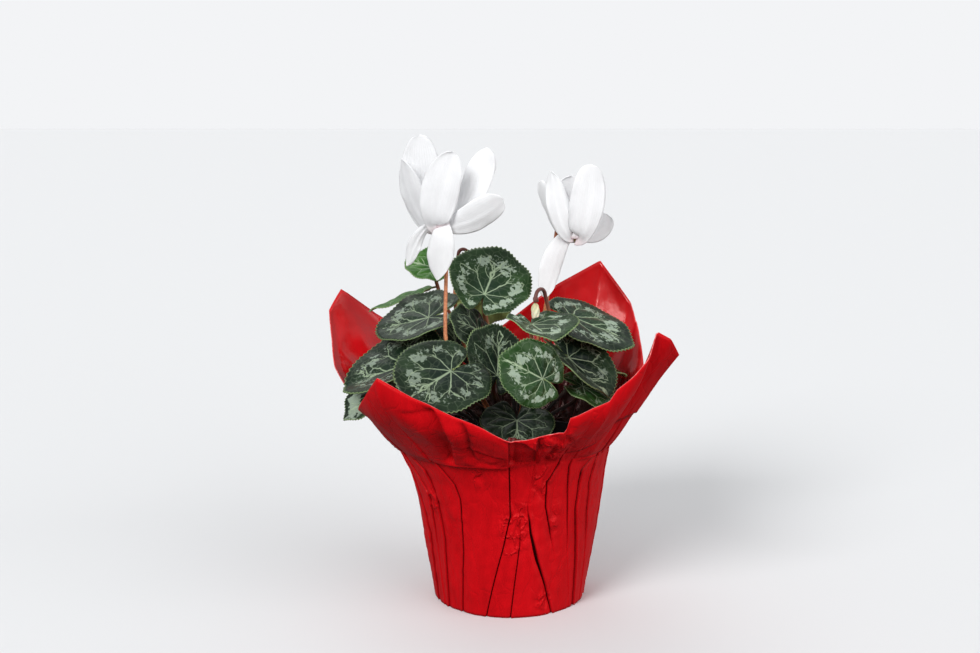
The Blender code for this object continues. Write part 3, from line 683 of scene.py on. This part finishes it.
def leafOutline(angle, seed):
    turn = abs(math.degrees(angle))
    outline = 0.62 + 0.38 * math.cos(angle / 2) ** 2 + 0.05 * hump(turn, 14)
    outline *= 1 + 0.018 * math.sin(5 * angle + seed) + 0.012 * math.sin(9 * angle + 2.3 * seed)
    return outline * (1 - 0.95 * hump(180 - turn, 11))


def veinGap(angle, share):  # distance to the nearest vein, in degrees times share
    turn = math.degrees(angle) * (1 + leafPlan["veinCurl"] * share ** 2)
    step = leafPlan["veinStep"]
    off = abs((turn / step + 0.5) % 1.0 - 0.5) * step
    fork = abs(off - leafPlan["forkOpens"] * max(share - leafPlan["forkFrom"], 0.0))
    return min(off, fork) * share


def leafSurface(leaf, angle, share, seed):
    joint, _, _, _, length, width, fold, droop, _, _, meeting = leaf
    tip, side, up = leafFrame(leaf)
    radius = leafOutline(angle, seed) * share * length
    along = radius * math.cos(angle)
    across = radius * math.sin(angle) * width
    rise = fold * abs(across) - droop * (across ** 2 + max(along, 0.0) ** 2) / length
    # between the veins the blade swells, and towards the edge it waves
    swell = 0.65 * smoothStep(0.0, 9.0, veinGap(angle, share)) * math.sin(math.pi * min(share, 0.97)) ** 0.7
    wave = 0.55 * share ** 3 * math.sin(7 * angle + seed) + 0.45 * share ** 2 * math.sin(3 * angle + 2 * seed)
    # the notch moves with the meeting point of the veins
    stay = share * (1 - hump(180 - abs(math.degrees(angle)), 22))
    along += meeting[0] * (1 - stay)
    across += meeting[1] * (1 - stay)
    return Vector(joint) + tip * along + side * across + up * (rise + swell + wave - 0.4 * share)


def makeLeaves(upper, under):
    around, out = leafPlan["around"], leafPlan["out"]
    for number, leaf in enumerate(leafPlan["leaves"], 1):
        bm = bmesh.new()
        bmesh.ops.create_grid(bm, x_segments=around, y_segments=out, size=1.0)
        layer = bm.loops.layers.uv.new("leafMap")
        toneAndShadeLayer, silver = addLayers(bm, "leafTone", "leafSilver")
        for face in bm.faces:
            for loop in face.loops:
                loop[layer].uv = ((loop.vert.co.x + 1) / 2, (loop.vert.co.y + 1) / 2)
        for vert in bm.verts:
            angle = vert.co.x * math.pi
            share = (vert.co.y + 1) / 2
            if share > 0.99:  # the margin is finely toothed
                share += leafPlan["tooth"] * (1 if round((vert.co.x + 1) / 2 * around) % 2 else -1)
            # light green tone above 0, painted shade below 0, and silver
            vert[toneAndShadeLayer], vert[silver] = leaf[8:10]
            vert.co = leafSurface(leaf, angle, share, number) * mm
        joint = leafSurface(leaf, 0, 0, number)
        middle = [vert for vert in bm.verts if (vert.co / mm - joint).length < 1.0]
        bmesh.ops.remove_doubles(bm, verts=middle, dist=0.00002)
        if sum((face.normal * face.calc_area() for face in bm.faces), Vector()).dot(leafFrame(leaf)[2]) < 0:
            bmesh.ops.reverse_faces(bm, faces=bm.faces)
        finishPiece(f"leafBlade{number:02d}", bm, [upper, under], [f"leaf_{number:02d}"],
                    leafPlan["wall"], other=1)
    print("leaves:", len(leafPlan["leaves"]), "blades of", 2 * around * out, "faces")


def leafMaterials():
    # upper skin of a cyclamen leaf: waxy deep green, sunken pale veins and a broken ring of silver patches
    upper, add = newMaterial("waxyLeafSilvered", {"Roughness": 0.38, "IOR": 1.45, "Specular IOR Level": 0.22})
    place = add("TexCoord", out="Object")
    leafMap = add("UVMap", uv_map="leafMap")
    share = add("SeparateXYZ", leafMap, out="Y")
    toneAndShade = add("Attribute", attribute_name="leafTone", out="Fac")
    silver = add("Attribute", attribute_name="leafSilver", out="Fac")

    # degrees from the tip, wavering by up to about 14, and bent round a little towards the edge
    waver = add("Math MULTIPLY_ADD", add("TexNoise", place, None, 420.0, 1.0), 7.0, -14.5)
    waver = add("Math MULTIPLY_ADD", add("TexNoise", place, None, 110.0, 2.0), 22.0, waver)
    turn = add("Math MULTIPLY_ADD", add("SeparateXYZ", leafMap, out="X"), 360.0, -180.0)
    turn = add("Math MULTIPLY_ADD", waver, add("MapRange", share, 0.0, 1 / 3), add("Math ABSOLUTE", turn))
    curl = add("Math MULTIPLY_ADD", add("Math MULTIPLY", share, share), leafPlan["veinCurl"], 1.0)
    turn = add("Math ABSOLUTE", add("Math MULTIPLY", turn, curl))
    # a ping-pong of half a step gives the distance to the nearest side vein, in degrees
    off = add("Math PINGPONG", turn, leafPlan["veinStep"] / 2)
    forkFrom = leafPlan["forkFrom"]
    opened = add("MapRange", share, forkFrom, 1.0, 0.0, leafPlan["forkOpens"] * (1 - forkFrom))
    # degrees times share is a length: about 0.42 mm a degree at the edge of a 24 mm leaf
    mainGap = add("Math MULTIPLY", off, share)
    forkGap = add("Math MULTIPLY", add("Math ABSOLUTE", add("Math SUBTRACT", off, opened)), share)
    radians = add("Math MULTIPLY", turn, math.radians(1.0))
    ahead = add("Math MULTIPLY", share, add("Math COSINE", radians))
    beside = add("Math ABSOLUTE", add("Math MULTIPLY", share, add("Math SINE", radians)))
    # families of veins: distance from one, where its line is full and where it ends, strength, then where it
    # starts, what its end is read from, and where it fades out
    families = [
        (mainGap, 0.25, 1.0, 1.0, None, share, 0.5, 0.66),
        (forkGap, 0.2, 0.9, 0.9, add("MapRange", share, 0.44, 0.5), share, 0.80, 0.9),
        (beside, 0.008, 0.026, 1.0, add("Math GREATER_THAN", ahead, 0.0), share, 0.85, 0.97),
    ]
    for start in leafPlan["midribWings"]:  # branches that leave the midrib in pairs
        line = add("Math MULTIPLY", add("Math SUBTRACT", ahead, start), leafPlan["wingSlope"])
        gap = add("Math ABSOLUTE", add("Math SUBTRACT", beside, line))
        families.append((gap, 0.005, 0.016, 0.9, add("Math GREATER_THAN", ahead, start), beside, 0.16, 0.24))
    net = add("TexVoronoi", place, None, 230.0, feature="DISTANCE_TO_EDGE")
    veins = add("MapRange", net, 0.0, 0.06, 0.12, 0.0)
    for gap, full, thin, strength, starts, along, fades, gone in families:
        line = add("MapRange", gap, full, thin, strength, 0.0)
        line = add("Math MULTIPLY", line, add("MapRange", along, fades, gone, 1.0, 0.0))
        if starts:
            line = add("Math MULTIPLY", line, starts)
        veins = add("Math MAXIMUM", veins, line)

    # silver: one ragged patch between two veins, two thirds of the way out
    island = add("TexNoise", place, None, 190.0, 4.0, 0.65)
    speck = add("TexNoise", place, None, 700.0, 2.0)
    band = add("ValToRGB", share, stops=((0.42, 0.0), (0.60, 1.0), (0.74, 1.0), (0.90, 0.0)))
    between = add("MapRange", mainGap, 1.5, 9.0)
    score = -1.375  # takes half a step off both noises, and 1 off the silver
    for part, weight in ((band, 0.52), (between, 0.20), (island, 1.5), (speck, 0.75), (silver, 0.25)):
        score = add("Math MULTIPLY_ADD", part, weight, score)
    patches = add("MapRange", score, 0.62, 0.70)
    flecks = add("MapRange", speck, 0.60, 0.66)
    flecks = add("Math MULTIPLY", flecks, add("MapRange", band, 0.2, 0.7, 0.0, 0.6))
    amount = add("MapRange", silver, 0.0, 1.0, 0.0, 0.82)
    silvered = add("Math MULTIPLY", add("Math MAXIMUM", patches, flecks), amount)

    cloud = add("TexNoise", place, None, 60.0, 3.0)
    tints = (
        ("leafTone", add("ValToRGB", cloud, stops=((0.3, "#234E16"), (0.7, "#417224")))),
        (add("MapRange", share, 0.15, 0.6, 0.35, 0.0), "#0E2226"),  # darker and bluer round the joint
        (silvered, "#98A896"),
        (add("Math MULTIPLY", veins, 0.8), "#A3B695"),
        (add("MapRange", share, 0.975, 1.0, 0.0, 0.8), "#8FA673"),  # pale margin
        # painted shade: a leaf whose value is below 0 is darkened towards black, down to 0.3 of its colour
        (add("MapRange", toneAndShade, -1.0, 0.0, 0.7, 0.0), "#000000"),
    )
    relief = add("Math MULTIPLY_ADD", veins, -0.6, add("Math MULTIPLY", speck, 0.5))
    coat(upper, cloud, ((0.3, "#0E1A10"), (0.5, "#172817"), (0.72, "#273B24")), tints, relief, 0.6, 0.0005)

    # lower skin: paler yellow-green, dull, with the veins standing out
    under, add = newMaterial("leafUndersideDull", {"Roughness": 0.6, "IOR": 1.4, "Specular IOR Level": 0.3})
    place = add("TexCoord", out="Object")
    cloud = add("TexNoise", place, None, 90.0, 3.0)
    net = add("TexVoronoi", place, None, 210.0, feature="DISTANCE_TO_EDGE")
    coat(under, cloud, ((0.3, "#97A763"), (0.6, "#B4C37C"), (0.8, "#C6D292")), (),
         add("MapRange", net, 0.0, 0.12, 1.0, 0.0), 0.4, 0.0003)
    return upper, under


# stalks, stems and calyces: rounded copies of the tubes

def makeStalks(leafSkin, stemSkin):
    for name in sorted(nodes):
        isStem = name.endswith("_stem")
        if not name.startswith("leaf_stalk") and not isStem:
            continue
        bm = copyNode(name)
        top = max(vert.co.z for vert in bm.verts)
        high, shadedLow = addLayers(bm, "nearHook", "nearSoil")
        shift = Vector((0, 0, 0))
        if not isStem:  # the stalk's end follows the point where the veins meet
            leaf = leafPlan["leaves"][int(name[-2:]) - 1]
            tip, side, _ = leafFrame(leaf)
            shift = tip * leaf[10][0] + side * leaf[10][1]
        for vert in bm.verts:
            vert[high] = smoothStep(0.022, 0.004, top - vert.co.z)
            # painted shade: stalks darken towards the soil, from about 124 mm down to 98 mm
            vert[shadedLow] = smoothStep(0.124, 0.098, vert.co.z)
            vert.co += shift * smoothStep(0.030, 0.003, top - vert.co.z) * mm
        pieceName = name.replace("leaf_stalk_", "leafStalk").replace("_stem", "Stem").replace("_", "")
        piece = finishPiece(pieceName, bm, [stemSkin if isStem else leafSkin], [name])
        rounding = piece.modifiers.new("rounding", "SUBSURF")
        rounding.levels = 1
        rounding.render_levels = 1
    print("stalks and stems rounded")


def stalkMaterials():
    # fleshy leaf stalk: brown-pink skin over green, faintly velvety, with painted shade darkening it near the
    # soil
    leafSkin, add = newMaterial("fleshyLeafStalk", {"Roughness": 0.5, "IOR": 1.4, "Sheen Weight": 0.2})
    blotch = add("TexNoise", add("TexCoord", out="Object"), None, 150.0, 4.0)
    coat(leafSkin, blotch, ((0.3, "#7A4230"), (0.55, "#9C5C40"), (0.75, "#8A8450")),
         [("nearSoil", "#150C09")], blotch, 0.3, 0.0003)

    # flower stem: orange-brown and finely dotted, turning maroon in the hook
    stemSkin, add = newMaterial("flowerStemDotted", {"Roughness": 0.48, "IOR": 1.4, "Sheen Weight": 0.2})
    dots = add("TexNoise", add("TexCoord", out="Object"), None, 900.0, 2.0)
    coat(stemSkin, dots, ((0.3, "#9A5634"), (0.6, "#BC7449"), (0.8, "#CE9468")), [("nearHook", "#5E3029")],
         dots, 0.25, 0.0002)
    return leafSkin, stemSkin


# blooms: white petals turned back from a downward mouth

blooms = {
    "mouthRadius": 4.4,
    "tubeHeight": 7.0,
    "wall": 0.35,
    "sink": 1.4,
    "flare": 8.0,
    "foot": 0.52,
    "widest": 0.60,
    "cup": 0.09,
    "along": 44,
    "across": 18,
    # petals: azimuth at the mouth, tip from the mouth's middle, width, the way the face looks, twist,
    # how pointed the tip is (0 to 1), how much the margin ripples
    "bloom_left": dict(mouth=(-33.5, -14, 188.5), anthers=(-2.6, -1.6, -0.6), petals=(
        (140, (-10, 9, 43), 20, -80, 12, 0.1, 0.8), (175, (-18, 2, 32), 13, -120, -25, 0.5, 1.0),
        (-115, (6, -6, 36), 18, -100, 26, 0.3, 1.0), (-5, (22, 5, 37), 14, -85, -38, 0.2, 2.4),
        (-35, (30, -5, 13), 14.5, -70, 14, 0.0, 0.6), (-78, (-2, -7, -25), 13.5, -90, 24, 0.9, 0.6),
        (-160, (-16, -1, -19), 6.5, -60, 55, 0.6, 0.8),
    )),
    "bloom_right": dict(mouth=(32, 3, 181), anthers=(0, 0, 0), petals=(
        (195, (-17, -1, 28), 9, 200, 20, 0.3, 0.6), (-122, (-12, -5, 33), 11.5, -75, -32, 0.9, 1.2),
        (100, (-2, 9, 30), 16, -95, 10, 0.2, 1.0), (-68, (7, -4, 36), 18, -85, 16, 0.1, 0.8),
        (20, (16, 6, 11), 12, -80, -15, 0.0, 0.6), (-150, (-15, -6, -29), 12, -80, -12, 0.7, 0.6),
    )),
}


def petalSpine(petal, count):  # points along the middle of a petal, each with its width's and its face's way
    azimuth, tip, _, looks, twist = petal[:5]
    out = direction(azimuth)
    root = out * (blooms["mouthRadius"] - blooms["sink"]) + Vector((0, 0, 1.0))
    tip = Vector(tip)
    flare = root + out * blooms["flare"] + Vector((0, 0, -1.5))
    nearTip = tip - (tip - root) * 0.35 + out * 3.0
    line = bezier((root, flare, nearTip, tip), count + 1)
    frames = []
    for i in range(count + 1):
        ahead = (line[min(i + 1, count)] - line[max(i - 1, 0)]).normalized()
        side = ahead.cross(direction(looks)).normalized()
        side.rotate(Matrix.Rotation(math.radians(twist) * (i / count) ** 1.5, 3, ahead))
        frames.append((line[i], side, side.cross(ahead)))
    return frames


def petalSpot(petal, frame, t, across, seed):
    middle, side, face = frame
    width, pointed, ruffle = petal[2], *petal[5:]
    widest, foot = blooms["widest"], blooms["foot"]
    spread = width / 2 * (foot + (1 - foot) * math.sin(math.pi / 2 * min(t / widest, 1)) ** 1.6)
    if t > widest:
        rest = max(1 - ((t - widest) / (1 - widest)) ** (2.6 - 1.2 * pointed), 0.0)
        spread *= rest ** (0.5 + 0.3 * pointed) * 0.97 + 0.03
    spread *= 1 + 0.05 * math.sin(5 * t + seed * 2.1 + (1.5 if across > 0 else 0)) * abs(across)
    cup = -blooms["cup"] * width * across ** 2 * math.sin(math.pi * t)
    # a keel down the middle, shallow flutes, and a margin that ripples more and more towards the tip
    keel = -0.3 * hump(across, 0.16) * math.sin(math.pi * min(t * 1.1, 1.0))
    flute = 0.1 * math.cos(across * 8 + seed) * math.sin(math.pi * t) ** 0.5
    phase = 9 * t + seed * 1.9 + (2.0 if across > 0 else 0.0)
    ripple = ruffle * abs(across) ** 2.5 * math.sin(phase) * smoothStep(0.1, 0.7, t)
    frill = 0.16 * abs(across) ** 6 * math.sin(31 * t + seed) * smoothStep(0.15, 0.5, t)
    bend = 0.6 * math.sin(4 * t + seed)
    return middle + side * (spread * across + 0.3 * bend) + face * (cup + keel + flute + ripple + frill)


def spun(bm, profile, steps):  # a surface turned round Z from (radius, height) points, seam and poles closed
    points = [bm.verts.new((radius * mm, 0, height * mm)) for radius, height in profile]
    edges = [bm.edges.new(pair) for pair in zip(points, points[1:])]
    bmesh.ops.spin(bm, geom=points + edges, cent=(0, 0, 0), axis=(0, 0, 1), angle=math.tau, steps=steps,
                   use_merge=True, use_duplicate=False)
    bmesh.ops.remove_doubles(bm, verts=bm.verts, dist=0.000005)


def addPetal(bm, petal, seed):
    sheet = bmesh.new()
    bmesh.ops.create_grid(sheet, x_segments=blooms["along"], y_segments=blooms["across"], size=1.0)
    glow, beside = addLayers(sheet, "mouthGlow", "petalAcross")
    frames = petalSpine(petal, blooms["along"])
    for vert in sheet.verts:
        t, across = (vert.co.x + 1) / 2, vert.co.y
        vert[glow] = 0.8 * smoothStep(0.13, 0.0, t)
        vert[beside] = across
        vert.co = petalSpot(petal, frames[round(t * blooms["along"])], t, across, seed) * mm
    bmesh.ops.recalc_face_normals(sheet, faces=sheet.faces)
    bmesh.ops.solidify(sheet, geom=sheet.faces[:], thickness=blooms["wall"] * mm)
    holder = bpy.data.meshes.new("petal")
    sheet.to_mesh(holder)
    sheet.free()
    bm.from_mesh(holder)
    bpy.data.meshes.remove(holder)


def makeBlooms(petalSkin, antherDust):
    radius, height = blooms["mouthRadius"], blooms["tubeHeight"]
    for side in ("Left", "Right"):
        name = "bloom_" + side.lower()
        plan = blooms[name]
        mouth = Vector(plan["mouth"])
        bm = bmesh.new()
        # corolla tube: open below, with a rolled rim
        spun(bm, ((0, height), (radius * 0.45, height - 0.1), (radius * 0.75, height - 0.6),
                  (radius * 0.92, height * 0.6), (radius, height * 0.25), (radius * 0.98, 0.1),
                  (radius * 0.9, -0.25), (radius * 0.8, 0.1), (radius * 0.74, height * 0.3),
                  (radius * 0.6, height * 0.7), (0, height - 1.2)), 40)
        mouthGlow, _ = addLayers(bm, "mouthGlow", "petalAcross")
        for vert in bm.verts:
            distance = math.hypot(vert.co.x, vert.co.y) / mm / radius
            vert[mouthGlow] = smoothStep(2.5, -0.3, vert.co.z / mm) if distance < 1.02 else 0.0
        bmesh.ops.recalc_face_normals(bm, faces=bm.faces)
        for i, petal in enumerate(plan["petals"]):
            addPetal(bm, petal, i * 1.3)
        bmesh.ops.translate(bm, vec=mouth * mm, verts=bm.verts)
        finishPiece(f"bloom{side}", bm, [petalSkin], [name])

        bm = bmesh.new()
        spun(bm, ((0, 3.8), (1.5, 3.2), (1.7, 1.6), (1.2, -0.2), (0.5, -1.5), (0.28, -1.9), (0.25, -3.0),
                  (0, -3.2)), 20)
        for vert in bm.verts:  # five anthers pressed into a cone
            angle = math.atan2(vert.co.y, vert.co.x)
            squeeze = 1 - 0.16 * abs(math.sin(2.5 * angle))
            vert.co.x *= squeeze
            vert.co.y *= squeeze
        bmesh.ops.recalc_face_normals(bm, faces=bm.faces)
        bmesh.ops.translate(bm, vec=(mouth + Vector(plan["anthers"])) * mm, verts=bm.verts)
        finishPiece(f"anthers{side}", bm, [antherDust])
    print("blooms: tube, petals and anthers of both")


def petalMaterials():
    # thin white petal: matt silky skin that lets light through, veined lengthways, pinkish at the mouth
    petalSkin, add = newMaterial("silkyPetalWhite", {
        "Roughness": 0.55, "IOR": 1.38, "Specular IOR Level": 0.3, "Sheen Weight": 0.1,
        "Subsurface Weight": 0.35, "Subsurface Scale": 0.003, "Subsurface Radius": (1.0, 1.0, 1.0),
    })
    cloud = add("TexNoise", add("TexCoord", out="Object"), None, 90.0, 3.0)
    beside = add("Attribute", attribute_name="petalAcross", out="Fac")
    ridged = add("Math SINE", add("Math MULTIPLY", beside, 44.0))  # about 14 veins over a petal's width
    coat(petalSkin, cloud, ((0.3, "#EAEBED"), (0.65, "#F2F3F5")), [("mouthGlow", "#E6CFD2")],
         add("Math ADD", ridged, cloud), 0.09, 0.0003)

    # ripe anthers: dry yellow pollen over brownish backs
    antherDust, add = newMaterial("antherPollen", {"Roughness": 0.85})
    grains = add("TexNoise", add("TexCoord", out="Object"), None, 1500.0, 2.0)
    coat(antherDust, grains, ((0.35, "#A98A3C"), (0.65, "#D9C26A")), (), grains, 0.5, 0.0002)
    return petalSkin, antherDust


# buds: petals rolled round each other

buds = {
    "twist": 150.0,
    "lobes": 0.13,
    "taper": 0.35,
    "bud_left": dict(top=(-21, 26, 167.5), length=20.5, radius=3.2),
    "bud_right": dict(top=(12, -18.3, 152), length=9.5, radius=2.3),
}


def makeBuds(budSkin):
    for side in ("Left", "Right"):
        name = "bud_" + side.lower()
        plan = buds[name]
        bm = bmesh.new()
        bmesh.ops.create_uvsphere(bm, u_segments=60, v_segments=32, radius=1.0)
        down, = addLayers(bm, "budDown")
        for vert in bm.verts:
            low = (1 - vert.co.z) / 2
            angle = math.atan2(vert.co.y, vert.co.x)
            roll = 5 * (angle + math.radians(buds["twist"]) * low)
            # sharp seams between the rolled petals
            lobes = 1 + buds["lobes"] * (abs(math.cos(roll / 2)) * 2 - 1.3)
            spread = plan["radius"] * lobes * (1 - buds["taper"] * low)
            vert.co = Vector((vert.co.x * spread, vert.co.y * spread, -plan["length"] * low))
            vert.co = (vert.co + Vector(plan["top"])) * mm
            vert[down] = low
        finishPiece(f"bud{side}", bm, [budSkin], [name])
    print("buds: two")


def budMaterial():
    # closed bud: cream skin with a waxy bloom, greener where it leaves the calyx
    budSkin, add = newMaterial("waxyBudCream", {"Roughness": 0.45, "IOR": 1.4, "Subsurface Weight": 0.2,
                                                "Subsurface Scale": 0.002})
    cloud = add("TexNoise", add("TexCoord", out="Object"), None, 300.0, 3.0)
    low = add("Attribute", attribute_name="budDown", out="Fac")
    coat(budSkin, add("Math MULTIPLY_ADD", cloud, 0.25, low),
         ((0.1, "#A7A678"), (0.4, "#D9D3AE"), (0.9, "#EFE9CF")), (), cloud, 0.2, 0.0002)
    return budSkin


# tuber, soil and nursery pot

ground = {
    "knobs": 0.30,
    "soilTop": ((22, 70.2), (34, 71.5), (45, 70.2)),  # radius, height
    "crumbReach": (24.0, 43.0),
    "crumbs": 900,
    "crumbSize": (0.5, 1.7),
}


def makeTuber(corkSkin):
    bm = copyNode("tuber")
    bmesh.ops.subdivide_edges(bm, edges=bm.edges[:], cuts=1, use_grid_fill=True)
    bm.normal_update()
    for vert in bm.verts:  # knobbly, and cracked into plates
        rough = noise.fractal(vert.co * 260, 1.0, 2.0, 4)
        vert.co += vert.normal * (rough - 0.5) * ground["knobs"] * mm
    finishPiece("corkyTuber", bm, [corkSkin], ["tuber"])
    print("tuber roughened")


def makeCrumbs(peat):  # loose crumbs of potting mix lying on the soil round the tuber
    draw = random.Random(11)
    bm = bmesh.new()
    low, high = ground["crumbReach"]
    for _ in range(ground["crumbs"]):
        radius = math.sqrt(draw.uniform(low ** 2, high ** 2))
        angle = draw.uniform(0, math.tau)
        size = draw.uniform(*ground["crumbSize"])
        level = readTable(ground["soilTop"], radius) + 0.25 * size
        spot = Vector((radius * math.cos(angle), radius * math.sin(angle), level)) * mm
        place = Matrix.Translation(spot) @ Matrix.Rotation(draw.uniform(0, 6), 4, "Z")
        made = bmesh.ops.create_icosphere(bm, subdivisions=1, radius=size * mm, matrix=place)["verts"]
        for vert in made:
            vert.co = spot + (vert.co - spot) * draw.uniform(0.6, 1.15)
    finishPiece("soilCrumbs", bm, [peat])
    print("soil:", ground["crumbs"], "crumbs")


def groundMaterials():
    # dried tuber skin: brown cork, cracked into small plates
    cork, add = newMaterial("tuberCork", {"Roughness": 0.9})
    plates = add("TexVoronoi", add("TexCoord", out="Object"), None, 420.0, feature="DISTANCE_TO_EDGE")
    coat(cork, plates, ((0.0, "#1C100A"), (0.15, "#4A3021"), (0.6, "#6B4A33")), (), plates, 0.8, 0.0006)

    # moist peat mix: near black, matt, with paler fibres
    peat, add = newMaterial("moistPeat", {"Roughness": 0.95})
    grain = add("TexNoise", add("TexCoord", out="Object"), None, 520.0, 6.0, 0.7)
    coat(peat, grain, ((0.35, "#0D0806"), (0.6, "#21150E"), (0.8, "#4A3524")), (), grain, 1.0, 0.0012)

    # thin-walled nursery pot: black polypropylene, satin, faintly streaked from moulding
    plastic, add = newMaterial("mouldedPolypropylene", {"Roughness": 0.42, "IOR": 1.49})
    rings = add("Mapping", {"Vector": add("TexCoord", out="Object"), "Scale": (1.0, 1.0, 14.0)})
    streak = add("TexNoise", rings, None, 90.0, 3.0)
    coat(plastic, streak, ((0.3, "#17181A"), (0.7, "#232427")), (), streak, 0.15, 0.0002)
    return cork, peat, plastic


def dress(name, material):  # a CAD node that keeps its shape gets its finish
    nodes[name].data.materials.clear()
    nodes[name].data.materials.append(material)


makeStudio()
makeCover(*filmMaterials())
makeLeaves(*leafMaterials())
makeStalks(*stalkMaterials())
makeBlooms(*petalMaterials())
makeBuds(budMaterial())
corkSkin, peat, plastic = groundMaterials()
makeTuber(corkSkin)
makeCrumbs(peat)
dress("potting_soil", peat)
dress("nursery_pot", plastic)
